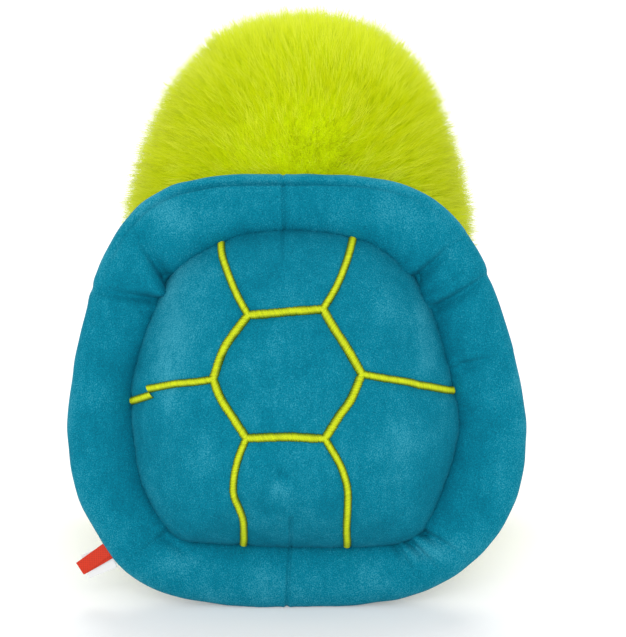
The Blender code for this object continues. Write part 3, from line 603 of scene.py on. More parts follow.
def strand_finish(name, root, tip, middle_lit=False, dull=0.84, pale=None, **sockets):
    """Pile or thread, coloured from its own map: along a strand, and from strand to strand."""
    finish = Finish(name, **{"Roughness": 0.8, "Specular_IOR_Level": 0.08, **sockets})
    place = finish.node("SeparateXYZ", {0: finish.node("UVMap", uv_map="OFBake")})
    tone = place
    along = place.node.outputs[1]
    # Painted shade along each strand: a thread darkens at both ends, where it dives into the
    # cloth, and a pile strand darkens towards its root
    if middle_lit:
        along = finish.ramp(along, (0.12, 0.0), (0.38, 1.0), (0.62, 1.0), (0.88, 0.0))
    else:
        along = finish.ramp(along, (0.0, 0.0), (0.45, 0.55), (1.0, 1.0))
    if pale:
        tip = finish.blend(finish.ramp(tone, (0.42, 0.0), (0.95, 1.0)), tip, pale)
    base = finish.blend(along, root, tip)
    shade = finish.ramp(tone, (0.0, dull), (0.18, 0.88), (0.5, 0.95), (1.0, 1.05))
    return finish.done(Base_Color=finish.blend(1.0, base, shade, "MULTIPLY"))


def thread_finish(name, low, lit):
    """Satin thread: painted shade where it dives into the cloth, with a silky gloss."""
    return strand_finish(name, low, lit, True, Roughness=0.45, Specular_IOR_Level=0.25)


def long_pile_finish(name, root, tip, pale):
    """Long fine pile, paler where it stands against the light, and in every other lock."""
    sheen = {"Sheen_Weight": 0.2, "Sheen_Roughness": 0.35, "Sheen_Tint": (0.9, 0.95, 0.5)}
    return strand_finish(name, root, tip, dull=0.6, pale=pale, **sheen)


def ribbon_finish(name, tint, dark):
    """Woven ribbon: fine threads both ways and a slight silky gloss."""
    finish = Finish(name, Roughness=0.55, Specular_IOR_Level=0.3)
    place = finish.node("TexCoord", output=3)
    threads = {"Vector": place, "Scale": 260.0, "Distortion": 0.4}
    weave = finish.node("TexWave", threads)
    cross = finish.node("TexWave", threads, bands_direction="Z")
    look = finish.sum((weave, 0.3), (cross, 0.3), (finish.lumps(0.003), 0.4))
    finish.bump(look, 0.0001)
    return finish.done(Base_Color=finish.ramp(look, (0.1, dark), (0.6, tint)))


def plastic_finish(name, tint):
    """Moulded glossy plastic, with the faint unevenness of its mould."""
    finish = Finish(name, Base_Color=tint, Specular_IOR_Level=0.35, Coat_Weight=0.15)
    rough = finish.ramp(finish.lumps(0.002, 2.0), (0.3, 0.06), (0.7, 0.12))
    return finish.done(Roughness=rough)


def material_of(maker, name, *values):
    """A material by its name, made once."""
    return bpy.data.materials.get(name) or maker(name, *values)


def shell_cloth(scene):
    """The shell's teal plush."""
    sizes = scene.turtle_shell
    tints = (sizes.cloth[:], sizes.cloth_brushed_and_shaded[:], sizes.cloth_light[:])
    return material_of(short_pile_finish, "teal_short_pile", *tints)


def panel_cloth(scene):
    """The lime short-pile plush of muzzle and belly."""
    tint = np.array(scene.turtle_pile.panel)
    tints = (tuple(tint), tuple(tint * 0.78), tuple(tint * 1.12))
    return material_of(short_pile_finish, "lime_short_pile", *tints, 0.6)


def pile_ground(scene):
    """The knitted ground that the long pile stands in."""
    root = np.array(scene.turtle_pile.root)
    # The ground takes the root's colour, with its painted shade
    tints = (tuple(root), tuple(root * 0.75), tuple(root * 1.2))
    return material_of(short_pile_finish, "lime_pile_ground", *tints, 0.5)


# Forms


@dataclass(frozen=True)
class Stuffed:
    """A stuffed round form, drawn as its solid is: half sizes, outline's powers, pinch above."""

    centre: tuple
    half_width: float
    half_depth: float
    rise: float
    drop: float
    rise_power: float = 2.0
    drop_power: float = 2.0
    pinch: float = 0.0

    def radius(self, height):
        """The radius share at heights from the centre."""
        up = height >= 0
        part = np.clip(np.abs(height) / np.where(up, self.rise, self.drop), 0, 1)
        power = np.where(up, self.rise_power, self.drop_power)
        full = (1 - part**power) ** (1 / power)
        return full * np.where(up, 1 - self.pinch * part * (1 - part) ** 2, 1)

    def point(self, azimuth, latitude, away=0.0):
        """Surface points at angles, moved outwards by away."""
        height = np.sin(latitude)
        height = height * np.where(height >= 0, self.rise, self.drop)
        part = self.radius(height)
        height = height * (1 + away / np.where(height >= 0, self.rise, self.drop))
        x = (self.half_width + away) * part * np.cos(azimuth)
        y = (self.half_depth + away) * part * np.sin(azimuth)
        return np.stack(np.broadcast_arrays(x, y, height), -1) + np.array(self.centre)

    def normal(self, azimuth, latitude):
        """The outward direction at two angles."""
        step = 0.001
        east = self.point(azimuth + step, latitude) - self.point(azimuth - step, latitude)
        north = self.point(azimuth, latitude + step) - self.point(azimuth, latitude - step)
        across = np.cross(east, north)
        return across / np.linalg.norm(across)

    def depth_of(self, places):
        """How far along the way from its axis to its surface places lie: under 1 inside."""
        x, y, height = (places - np.array(self.centre)).T
        part = self.radius(height)
        return np.hypot(x / self.half_width, y / self.half_depth) / np.maximum(part, 1e-6)

    def rows(self, sides, rings, away=0.0):
        """Its rings and its two poles."""
        latitudes = np.pi * (np.arange(rings) + 1) / (rings + 1) - np.pi / 2
        azimuths = math.tau * np.arange(sides) / sides
        grid = self.point(azimuths[None, :], latitudes[:, None], away)
        return grid, self.point(0.0, -np.pi / 2, away), self.point(0.0, np.pi / 2, away)


TORSO = Stuffed((0, 0.003, 0.048), 0.094, 0.097, 0.058, 0.0485, 2.6, 4.5)
HEAD = Stuffed((0, -0.014, 0.195), 0.0925, 0.089, 0.109, 0.090, 2.0, 2.3, 0.4)
NECK = Stuffed((0, -0.010, 0.095), 0.0448, 0.0448, 0.0448, 0.0448)
MUZZLE = Stuffed((0, -0.093, 0.175), 0.036, 0.030, 0.027, 0.027)
EYE_AZIMUTH = math.radians(60)
EYE_LATITUDE = math.radians(8)
EYE_STANDOFF = 0.0008
BELLY = (0.060, 0.046, 0.032)  # height of its middle, half width, half height
WHORL = np.array((-0.0100, 0.0750, 0.2000))
RUFFLED = np.array((-0.0110, 0.0610, 0.2440))  # middle of the place where the pile stands upright
LABEL_ANGLE = math.radians(-35)  # where the labels leave the rim's seam, seen from behind
SEWN_IN = 0.0012  # how much of a label's length lies in the seam
OFF_FLOOR = 0.0003  # least height of the rim's cloth and of the pile over the floor
PILE_ROOM = 0.007  # room under the shell that the pile takes at its full length
FOOT = 0.04  # height up to which the shell's foot sways like its top
DOME_BACK = 0.004  # how far the cushion is tucked in behind its seam
UNDER_SEAM = 0.0008  # how far the panel under the shell lies behind its seam
EYE_FLANGE = 0.001  # thickness of an eye's edge
LOCKS = 6  # different locks of pile in each growth
SKIN_OFF_FLOOR = {"torso": 0.0005, "limb": 0.0009}  # least height of a stuffed skin
CAMERA_AIM = (-0.00876, 0.034, 0.1435)  # what the camera looks at
TONES = 16.0  # shades of the pile and of the thread

# Share of the limb's length, of its half width and of its half thickness
LIMB_SHARES = (
    (0.10, 0.82, 0.36),
    (0.22, 0.88, 0.62),
    (0.38, 0.95, 0.85),
    (0.56, 1.00, 0.97),
    (0.72, 1.00, 1.00),
    (0.86, 0.86, 0.86),
    (0.95, 0.60, 0.60),
)
# For each limb: joint, droop in degrees, length, seam half width, half width, half thickness
LIMBS = {
    "arm": ("swing", 12.0, 0.054, 0.015, 0.018, 0.013),
    "leg": ("lift", 0.0, 0.0745, 0.018, 0.024, 0.028),
}


def from_shell(places, sizes):
    """Places in the shell's own frame (across, out, up) in the scene's, with its sway."""
    across, out, up = np.moveaxis(np.asarray(places, float), -1, 0)
    over = np.clip((up - sizes.middle) / (sizes.height - sizes.middle), 0, None)
    over = over + 0.7 * np.clip((FOOT - up) / FOOT, 0, None)
    c, s = math.cos(sizes.lean), math.sin(sizes.lean)
    turned = (across + sizes.sway * over, out * c - up * s, out * s + up * c)
    return SHELL_FOOT + np.stack(turned, -1)


def out_of_shell(places, sizes):
    """How far places lie out of the shell's plane, and whether they lie within its outline."""
    c, s = math.cos(sizes.lean), math.sin(sizes.lean)
    x, y, z = (np.asarray(places) - SHELL_FOOT).T
    out, up = y * c + z * s, z * c - y * s - sizes.middle
    return out, np.hypot(x, up) < rim_edge(sizes, np.arctan2(up, x)) + 0.006


def between(a, b, c, d, t):
    """Points at shares of the way from b to c, on a smooth curve through all four."""
    pull = (c - a) * t + (2 * a - 5 * b + 4 * c - d) * t**2 + (3 * b - a - 3 * c + d) * t**3
    return b + pull / 2


def outline(shares, half_width, height, middle, angles):
    """Radii of a smooth closed curve about the shell's middle; half outlines are mirrored."""
    points = [(x * half_width, y * height) for x, y in shares]
    if min(points)[0] >= 0:
        points += [(-x, y) for x, y in points[-2:0:-1]]
    points = np.array(points)
    t = (np.arange(48) / 48)[:, None, None]
    a, b, c, d = (np.roll(points, -j, 0) for j in (-1, 0, 1, 2))
    curve = between(a, b, c, d, t).reshape(-1, 2) - (0, middle)
    turn = np.arctan2(curve[:, 1], curve[:, 0])
    order = np.argsort(turn)
    return np.interp(angles, turn[order], np.hypot(*curve.T)[order], period=math.tau)


def rim_edge(sizes, angles):
    """Radii of the rim's outer edge."""
    return outline(RIM_OUTLINE, sizes.half_width, sizes.height, sizes.middle, angles)


def dome_edge(sizes, angles):
    """Radii of the cushion's seam."""
    return outline(DOME_OUTLINE, sizes.dome_half_width, sizes.dome_top, sizes.middle, angles)


def about_middle(flat, sizes):
    """Angles and radii, about the shell's middle, of places on its plane."""
    across, up = flat[:, 0], flat[:, 1] - sizes.middle
    return np.arctan2(up, across), np.hypot(across, up)


def rim_rows(sizes, around, across):
    """Sections of the rim round the shell, in its own frame."""
    angles = math.tau * np.arange(around)[:, None] / around
    turns = math.tau * np.arange(across)[None, :] / across
    inner = dome_edge(sizes, angles) - sizes.seam_tuck
    outer = rim_edge(sizes, angles)
    c, s = (np.sign(f) * np.abs(f) ** (2 / 2.3) for f in (np.cos(turns), np.sin(turns)))
    radius = (inner + outer) / 2 + (outer - inner) / 2 * c
    up = sizes.middle + radius * np.sin(angles)
    return np.stack(np.broadcast_arrays(radius * np.cos(angles), sizes.rim_thickness * s, up), -1)


def dome_rows(sizes, around, rings):
    """Rings of the cushion from its middle to its seam, and one tucked in behind the seam."""
    angles = math.tau * np.arange(around)[None, :] / around
    shares = np.sin(np.pi / 2 * (np.arange(rings)[:, None] + 1) / rings)
    radius = shares * (dome_edge(sizes, angles) + 0.0006)
    low = np.clip(-1.3 * np.sin(angles), 0, 1)
    out = sizes.dome_rise * (1 - shares ** (2.2 - 0.1 * low)) ** (0.6 + 0.12 * low)
    rows = (radius * np.cos(angles), out, sizes.middle + radius * np.sin(angles))
    rows = np.stack(np.broadcast_arrays(*rows), -1)
    tucked = (rows[-1] - (0, 0, sizes.middle)) * 0.975 + (0, -DOME_BACK, sizes.middle)
    return np.concatenate((rows, tucked[None]))


def press(mesh, depth):
    """Move a mesh's vertices in along their normals."""
    set_places(mesh, places_of(mesh) - normals_of(mesh) * np.asarray(depth)[:, None])


def curved(points):
    """A smooth curve through points."""
    wide = np.vstack((2 * points[0] - points[1], points, 2 * points[-1] - points[-2]))
    t = (np.arange(12) / 12)[:, None]
    curve = []
    for a, b, c, d in zip(wide, wide[1:], wide[2:], wide[3:]):
        curve.append(between(a, b, c, d, t))
    return np.vstack((*curve, points[-1:]))


def route(strokes, sizes, closed=False):
    """Places half a millimetre apart along an embroidered line, its corners rounded."""
    scale = (sizes.dome_half_width, sizes.dome_top)
    curves = [curved(np.array(stroke) * scale) for stroke in strokes]
    corners = np.vstack([curve[:-1] for curve in curves] + [curves[-1][-1:]])
    far = np.concatenate(((0,), np.cumsum(np.linalg.norm(np.diff(corners, axis=0), axis=1))))
    at = np.linspace(0, far[-1], int(far[-1] / 0.0005) + 1)
    line = np.stack([np.interp(at, far, corners[:, k]) for k in (0, 1)], 1)
    pad = 3
    if closed:
        wide = np.vstack((line[-pad - 1 : -1], line, line[1 : pad + 1]))
    else:
        wide = np.vstack((np.repeat(line[:1], pad, 0), line, np.repeat(line[-1:], pad, 0)))
    return sum(wide[k : k + len(line)] for k in range(2 * pad + 1)) / (2 * pad + 1)


def all_routes(sizes):
    """The embroidery's lines by the names of the pieces that they make."""
    sides = [(*side, after[0]) for side, after in zip(HEXAGON, (*HEXAGON[1:], HEXAGON[0]))]
    routes = {"embroidery_hexagon": [route(sides, sizes, True)]}
    for number, (corner, first, *more) in enumerate(SPOKES, 1):
        strokes = [(HEXAGON[corner][0], *first), *more]
        routes[f"embroidery_spoke_{number}"] = [route([stroke], sizes) for stroke in strokes]
    return routes


def nearest(flat, line):
    """How far places on the shell's plane lie from a line's points."""
    best = np.full(len(flat), np.inf)
    for point in line[::3]:
        best = np.minimum(best, np.hypot(*(flat - point).T))
    return best


def shaped_dome(sizes, around, rings):
    """The cushion in the shell's own frame, with its seams, creases and pulled-in embroidery."""
    coarse, steps = 160, 24
    middle = np.array((0, sizes.dome_rise, sizes.middle))
    back = np.array((0, -DOME_BACK, sizes.middle))
    trial = closed_mesh("dome_trial", dome_rows(sizes, coarse, steps), middle, back)
    held = np.arange(coarse * (steps - 1), len(trial.vertices))
    swell = inflated(trial, held, sizes.pressure, sizes.swell)
    swell = swell[: coarse * (steps + 1)].reshape(steps + 1, coarse, 3)
    rows = dome_rows(sizes, around, rings)
    rows[:-1] += refined(swell[:-1], rings, around)
    mesh = closed_mesh("shell_dome", rows, middle, back)
    places = places_of(mesh)
    flat = places[:, (0, 2)]
    angles, radius = about_middle(flat, sizes)
    edge = 1 - radius / dome_edge(sizes, angles)
    gathers = sum(np.sin(angles * k + 1.7 * k) for k in (29, 47, 71, 96)) / 2
    depth = crease_depth(flat, DOME_CREASES) + 0.00012 * gathers * np.exp(-np.abs(edge) / 0.05)
    depth += 0.0008 * unevenness(flat, 0.040, 3) * np.clip(edge / 0.1, 0, 1)
    depth += 0.0002 * unevenness(flat, 0.012, 4)
    for lines in all_routes(sizes).values():
        depth += sizes.stitch_sink * hump(nearest(flat, np.vstack(lines)), 0, 0.0038)
    press(mesh, depth * (places[:, 1] > -0.002))
    # Painted sheen and shade on the cushion, kept for its cloth
    give(mesh, "nap", painted_sheen_and_shade(flat, DOME_PAINTED_SHEEN))
    return mesh


def shaped_rim(sizes, around, across):
    """The rim in the shell's own frame, with its tucks and seams."""
    coarse, steps = 240, 16
    trial = closed_mesh("rim_trial", rim_rows(sizes, coarse, steps), ring=True)
    held = range(0, coarse * steps, steps // 2)
    swell = inflated(trial, held, sizes.pressure, sizes.swell).reshape(coarse, steps, 3)
    rows = rim_rows(sizes, around, across) + refined(swell, around, across, True)
    mesh = closed_mesh("shell_rim", rows, ring=True)
    places = places_of(mesh)
    flat = places[:, (0, 2)]
    angles, radius = about_middle(flat, sizes)
    outer, inner = rim_edge(sizes, angles), dome_edge(sizes, angles)
    front = np.clip(places[:, 1] / sizes.rim_thickness + 0.6, 0, 1)
    depth = crease_depth(flat, RIM_CREASES) * front
    beyond = outer - radius - 0.004
    seam = hump(beyond, 0, 0.0009) - 0.4 * hump(beyond, -0.0022, 0.0014)
    depth += 0.0034 * seam * hump(np.degrees(angles), 80, 34) * front
    gathers = sum(np.sin(angles * k + 0.9 * k) for k in (31, 53, 79, 104)) / 2
    depth += 0.00018 * gathers * np.exp(-np.clip(radius - inner, 0, None) / 0.006)
    depth += 0.0006 * unevenness(flat, 0.045, 11) * front + 0.0002 * unevenness(flat, 0.012, 12)
    press(mesh, depth)
    # Painted sheen along the outer edge, painted shade in the groove by the cushion, and the
    # painted sheen patches, kept for its cloth
    edge_light = 0.7 * np.exp(-np.clip(outer - radius, 0, None) / 0.004)
    groove_shade = 0.9 * np.exp(-np.clip(radius - inner, 0, None) / 0.010) * np.abs(np.cos(angles))
    give(mesh, "nap", painted_sheen_and_shade(flat, RIM_PAINTED_SHEEN) + edge_light - groove_shade)
    return mesh


# Threads and pile


def strands(name, paths, radii, sides, pointed):
    """A mesh of tapered tubes, with its own map: across in u, along in v."""
    places, faces, maps = [], [], []
    for path, thick in zip(paths, radii):
        run = np.gradient(path, axis=0)
        run /= np.linalg.norm(run, axis=1, keepdims=True)
        side = np.array((0.0, 1.0, 0.0)) - run * run[:, 1:2]
        side /= np.linalg.norm(side, axis=1, keepdims=True)
        other = np.cross(run, side)
        first, rings = len(places), len(path) - pointed
        turns = math.tau * np.arange(sides) / sides
        for i in range(rings):
            ring = np.cos(turns)[:, None] * side[i] + np.sin(turns)[:, None] * other[i]
            places += (path[i] + ring * thick[i]).tolist()
        v = np.linspace(0, 1, len(path))
        for i in range(rings - 1):
            for k in range(sides):
                a, b = first + i * sides + k, first + i * sides + (k + 1) % sides
                faces.append((a, b, b + sides, a + sides))
                left, right = k / sides, (k + 1) / sides
                maps += [(left, v[i]), (right, v[i]), (right, v[i + 1]), (left, v[i + 1])]
        faces.append(tuple(range(first + sides - 1, first - 1, -1)))
        maps += [(1 - k / sides, 0.03 * (k % 2)) for k in range(sides)]
        last = first + (rings - 1) * sides
        if pointed:
            places.append(path[-1].tolist())
            for k in range(sides):
                faces.append((last + k, last + (k + 1) % sides, len(places) - 1))
                maps += [(k / sides, v[-2]), ((k + 1) / sides, v[-2]), ((k + 0.5) / sides, 1.0)]
        else:
            faces.append(tuple(range(last, last + sides)))
            maps += [(k / sides, 1 - 0.03 * (k % 2)) for k in range(sides)]
    mesh = bpy.data.meshes.new(name)
    mesh.from_pydata(places, [], faces)
    layer = mesh.uv_layers.new(name="OFBake")
    layer.data.foreach_set("uv", np.clip(np.array(maps), 0.001, 0.999).ravel())
    mesh.shade_smooth()
    return mesh


def arched_thread(half_width, height, radius):
    """One thread of satin stitch: it dives into the cloth at both ends."""
    t = np.linspace(-1, 1, 8)
    path = np.stack((half_width * t, 0 * t, height * (1 - np.abs(t) ** 2.6) ** 0.6 - radius), 1)
    path[[0, -1], 2] -= 0.0005
    return strands("thread", [path], [np.full(8, radius)], 5, False)


def tuft(seed, size, strand):
    """A small lock of five hairs, rooted at its origin and leaning along X: three short straight
    ones, and two that are bent, longer, finer and more upright."""
    rng = np.random.default_rng(seed)
    paths, radii = [], []
    for number in range(5):
        guard = number > 2
        t = np.linspace(0, 1, 3 if guard else 2)
        reach = size * (rng.uniform(0.9, 1.38) if guard else rng.uniform(0.75, 1.05))
        low = rng.uniform(10, 32) if guard else rng.uniform(28, 44)
        lean = np.radians(low + rng.uniform(30, 46) * (t if guard else 0 * t + 0.4))
        step = np.stack((np.sin(lean), 0 * t, np.cos(lean)), 1) * reach / (len(t) - 1)
        path = np.vstack(((0, 0, 0), np.cumsum(step[:-1], 0)))
        path[:, 1] += size * (rng.uniform(-0.16, 0.16) * t + rng.uniform(-0.05, 0.05) * t**2)
        foot = np.array((*rng.uniform(-0.085, 0.085, 2) * size, -0.0006))
        path += foot * (1 - 0.35 * t[:, None])
        paths.append(path)
        thick = size * strand * (rng.uniform(0.7, 1.0) if guard else rng.uniform(0.9, 1.3))
        radii.append(thick * np.array((0.9, 0.85, 0.0) if guard else (1.0, 0.0)))
    return strands("tuft", paths, radii, 3, True)


class Tree:
    """A Geometry Nodes tree under construction."""

    def __init__(self, name, **inputs):
        self.group = bpy.data.node_groups.new(name, "GeometryNodeTree")
        face = self.group.interface
        face.new_socket("Geometry", in_out="INPUT", socket_type="NodeSocketGeometry")
        for key, kind in inputs.items():
            face.new_socket(key, in_out="INPUT", socket_type="NodeSocket" + kind)
        face.new_socket("Geometry", in_out="OUTPUT", socket_type="NodeSocketGeometry")
        self.given = self.group.nodes.new("NodeGroupInput").outputs

    def node(self, kind, inputs=(), output=0, **settings):
        """A node with its settings and inputs, by name or number; returns one of its outputs."""
        made = self.group.nodes.new(kind)
        for key, value in settings.items():
            setattr(made, key, value)
        for key, value in dict(inputs).items():
            socket = made.inputs[key]
            if isinstance(value, bpy.types.NodeSocket):
                self.group.links.new(value, socket)
            else:
                socket.default_value = value
        return made.outputs[output]

    def random(self, low, high, seed):
        """A random number for each element; the seed adds to the tree's own."""
        seed = self.node("ShaderNodeMath", {0: self.given["Seed"], 1: float(seed)})
        settings = {"data_type": "FLOAT"}
        return self.node("FunctionNodeRandomValue", {2: low, 3: high, 8: seed}, 1, **settings)

    def stored(self, name, kind="FLOAT"):
        """A named attribute of the input."""
        return self.node("GeometryNodeInputNamedAttribute", {"Name": name}, data_type=kind)

    def finish(self, points, inputs, tone, soft=None):
        """Put instances on points and make them one mesh, with its map and its material. A soft
        direction, stored on the points, is mixed into the normals, as light mixes in a pile."""
        shapes = self.node("GeometryNodeInstanceOnPoints", {"Points": points, **inputs})
        store = "GeometryNodeStoreNamedAttribute"
        inputs = {"Geometry": shapes, "Name": "tone", "Value": tone}
        shapes = self.node(store, inputs, data_type="FLOAT", domain="INSTANCE")
        mesh = self.node("GeometryNodeRealizeInstances", {"Geometry": shapes})
        place = self.node("ShaderNodeSeparateXYZ", {0: self.stored("OFBake", "FLOAT_VECTOR")})
        along = place.node.outputs[1]
        bins = {0: self.stored("tone"), 1: TONES - 0.01}
        tone = self.node("ShaderNodeMath", bins, operation="MULTIPLY")
        tone = self.node("ShaderNodeMath", {0: tone}, operation="FLOOR")
        tone = self.node("ShaderNodeMath", {0: tone, 1: place})
        tone = self.node("ShaderNodeMath", {0: tone, 1: TONES}, operation="DIVIDE")
        place = self.node("ShaderNodeCombineXYZ", {0: tone, 1: along})
        inputs = {"Geometry": mesh, "Name": "OFBake", "Value": place}
        mesh = self.node(store, inputs, data_type="FLOAT2", domain="CORNER")
        if soft:
            own = self.node("GeometryNodeInputNormal")
            own = self.node("ShaderNodeVectorMath", {0: own, 3: 0.55}, operation="SCALE")
            inputs = {0: self.stored(soft, "FLOAT_VECTOR"), 1: own}
            mixed = self.node("ShaderNodeVectorMath", inputs, operation="ADD")
            mixed = self.node("ShaderNodeVectorMath", {0: mixed}, operation="NORMALIZE")
            inputs = {"Mesh": mesh, "Custom Normal": mixed}
            free = {"mode": "FREE", "domain": "CORNER"}
            mesh = self.node("GeometryNodeSetMeshNormal", inputs, **free)
        mesh = self.node("GeometryNodeSetMaterial", {0: mesh, "Material": self.given["Material"]})
        self.group.links.new(mesh, self.group.nodes.new("NodeGroupOutput").inputs[0])
        return self.group


def satin_tree():
    """Threads side by side along a line, square to its stored up direction."""
    if "satin_stitch" in bpy.data.node_groups:
        return bpy.data.node_groups["satin_stitch"]
    kinds = {"Thread": "Object", "Pitch": "Float", "Slant": "Float", "Seed": "Int"}
    tree = Tree("satin_stitch", **kinds, Material="Material")
    line = tree.node("GeometryNodeMeshToCurve", {0: tree.given["Geometry"]})
    inputs = {"Curve": line, "Length": tree.given["Pitch"]}
    line = tree.node("GeometryNodeResampleCurve", inputs, mode="LENGTH")
    tangent = tree.node("GeometryNodeInputTangent")
    inputs = {0: tree.stored("up", "FLOAT_VECTOR"), 1: tangent}
    settings = {"primary_axis": "Z", "secondary_axis": "Y"}
    turn = tree.node("FunctionNodeAxesToRotation", inputs, **settings)
    waver = tree.node("ShaderNodeMath", {0: tree.given["Slant"], 1: tree.random(-0.07, 0.07, 1)})
    euler = tree.node("ShaderNodeCombineXYZ", {2: waver})
    euler = tree.node("FunctionNodeEulerToRotation", {0: euler})
    settings = {"rotation_space": "LOCAL"}
    turn = tree.node("FunctionNodeRotateRotation", {0: turn, 1: euler}, **settings)
    thread = tree.node("GeometryNodeObjectInfo", {"Object": tree.given["Thread"]}, "Geometry")
    inputs = {"Instance": thread, "Rotation": turn, "Scale": tree.random(0.94, 1.06, 2)}
    return tree.finish(line, inputs, tree.random(0.0, 1.0, 3))


def pile_tree():
    """Tufts spread over a cloth, along its stored comb and as long as its stored pile."""
    if "long_pile" in bpy.data.node_groups:
        return bpy.data.node_groups["long_pile"]
    kinds = {"Tufts": "Collection", "Spacing": "Float", "Panel": "Int", "Twist": "Float"}
    tree = Tree("long_pile", **kinds, Seed="Int", Material="Material")
    inputs = {2: tree.stored("panel", "INT"), 3: tree.given["Panel"]}
    chosen = tree.node("FunctionNodeCompare", inputs, data_type="INT", operation="EQUAL")
    inputs = {
        "Mesh": tree.given["Geometry"],
        "Selection": chosen,
        "Distance Min": tree.given["Spacing"],
        "Density Max": 1.0e6,
        "Density Factor": tree.stored("cover"),
        "Seed": tree.given["Seed"],
    }
    points = tree.node("GeometryNodeDistributePointsOnFaces", inputs, distribute_method="POISSON")
    normal = points.node.outputs["Normal"]
    inputs = {0: normal, 1: tree.stored("comb", "FLOAT_VECTOR")}
    settings = {"primary_axis": "Z", "secondary_axis": "X"}
    turn = tree.node("FunctionNodeAxesToRotation", inputs, **settings)
    less = tree.node("ShaderNodeMath", {0: tree.given["Twist"], 1: -1.0}, operation="MULTIPLY")
    twist = tree.random(less, tree.given["Twist"], 1)
    lift = {0: tree.stored("lift"), 1: -0.75, 2: tree.random(-0.24, 0.14, 3)}
    lift = tree.node("ShaderNodeMath", lift, operation="MULTIPLY_ADD")
    euler = {0: tree.random(-0.14, 0.14, 2), 1: lift, 2: twist}
    euler = tree.node("FunctionNodeEulerToRotation", {0: tree.node("ShaderNodeCombineXYZ", euler)})
    settings = {"rotation_space": "LOCAL"}
    turn = tree.node("FunctionNodeRotateRotation", {0: turn, 1: euler}, **settings)
    inputs = {0: tree.given["Tufts"], 1: True, 2: True}
    tufts = tree.node("GeometryNodeCollectionInfo", inputs)
    inputs = {0: tree.stored("pile"), 1: tree.random(0.82, 1.14, 4)}
    size = tree.node("ShaderNodeMath", inputs, operation="MULTIPLY")
    patch = tree.node("ShaderNodeTexNoise", {"Scale": 55.0, "Detail": 2.0})
    patch = tree.node("ShaderNodeMath", {0: patch, 1: 0.6, 2: 0.2}, operation="MULTIPLY_ADD")
    # Painted shade: where the pile is lifted, some tufts get darker tones, for the gaps between
    # the upright hairs
    gap_shade = {0: tree.stored("lift"), 1: tree.random(-0.7, 0.2, 6)}
    gap_shade = tree.node("ShaderNodeMath", gap_shade, operation="MULTIPLY")
    inputs = {0: tree.random(-0.32, 0.32, 5), 1: patch}
    tone = tree.node("ShaderNodeMath", inputs)
    tone = tree.node("ShaderNodeMath", {0: tone, 1: gap_shade}, use_clamp=True)
    inputs = {"Instance": tufts, "Pick Instance": True, "Rotation": turn, "Scale": size}
    return tree.finish(points, inputs, tone, "outward")


def grown(name, base, tree, **values):
    """The plain mesh that a tree makes of a base object."""
    modifier = base.modifiers.new(name, "NODES")
    modifier.node_group = tree
    for item in tree.interface.items_tree:
        if item.in_out == "INPUT" and item.name in values:
            modifier[item.identifier] = values[item.name]
    graph = bpy.context.evaluated_depsgraph_get()
    mesh = bpy.data.meshes.new_from_object(
        base.evaluated_get(graph), preserve_all_data_layers=True, depsgraph=graph
    )
    base.modifiers.remove(modifier)
    mesh.name = name
    for key in ("tone", "up", "comb", "cover", "pile", "panel", "lift", "outward"):
        if key in mesh.attributes:
            mesh.attributes.remove(mesh.attributes[key])
    return mesh


def trial_object(name, mesh):
    """An object in the scene that doesn't last."""
    made = bpy.data.objects.new(name, mesh)
    bpy.context.scene.collection.objects.link(made)
    return made


def satin(name, lines, ups, half_width, scene, closed=False):
    """A band of satin stitch along lines of places, standing up along given directions."""
    sizes = scene.turtle_stitch
    edges, first = [], 0
    for line in lines:
        last = first + len(line) - 1
        edges += [(k, k + 1) for k in range(first, last)] + ([(last, first)] if closed else [])
        first = last + 1
    path = bpy.data.meshes.new(name + "_line")
    path.from_pydata(np.vstack(lines).tolist(), edges, [])
    give(path, "up", np.vstack(ups), "FLOAT_VECTOR")
    height = sizes.height * min(1, half_width / sizes.half_width)
    thread = trial_object("thread", arched_thread(half_width, height, sizes.thread))
    base = trial_object(name + "_line", path)
    values = {"Thread": thread, "Pitch": sizes.pitch, "Slant": sizes.slant, "Seed": 5}
    mesh = grown(name, base, satin_tree(), **values)
    for made in (thread, base):
        bpy.data.objects.remove(made, do_unlink=True)
    return mesh


def dressed(name, mesh, material, body, nodes=()):
    """A piece of the toy: its object, body and slot, and the solids that it stands for."""
    mesh.materials.clear()
    piece = link(name, mesh, material)
    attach(piece, body)
    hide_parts(*nodes)
    return piece


def dress_node(node, material):
    """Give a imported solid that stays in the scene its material."""
    mesh = frame["nodes"][node].data
    mesh.materials.clear()
    mesh.materials.append(material)


def smooth_share(value, low, high):
    """From 0 at low to 1 at high, with soft ends."""
    t = np.clip((value - low) / (high - low), 0, 1)
    return t * t * (3 - 2 * t)


def skin_of(form, name, sides, rings, seed):
    """A stuffed form as a closed skin with slight lumps."""
    mesh = closed_mesh(name, *form.rows(sides, rings))
    places = places_of(mesh)
    lumps = 0.0007 * unevenness(places, 0.030, seed)
    press(mesh, lumps + 0.0003 * unevenness(places, 0.012, seed + 1))
    return mesh


def squeezed_by_shell(places, scene):
    """How much room there is for the pile under the shell, as a share of its height."""
    sizes = scene.turtle_shell
    out, within = out_of_shell(places, sizes)
    room = (-sizes.rim_thickness - out) / PILE_ROOM
    return np.where(within, np.clip(room, 0, 1), 1.0)


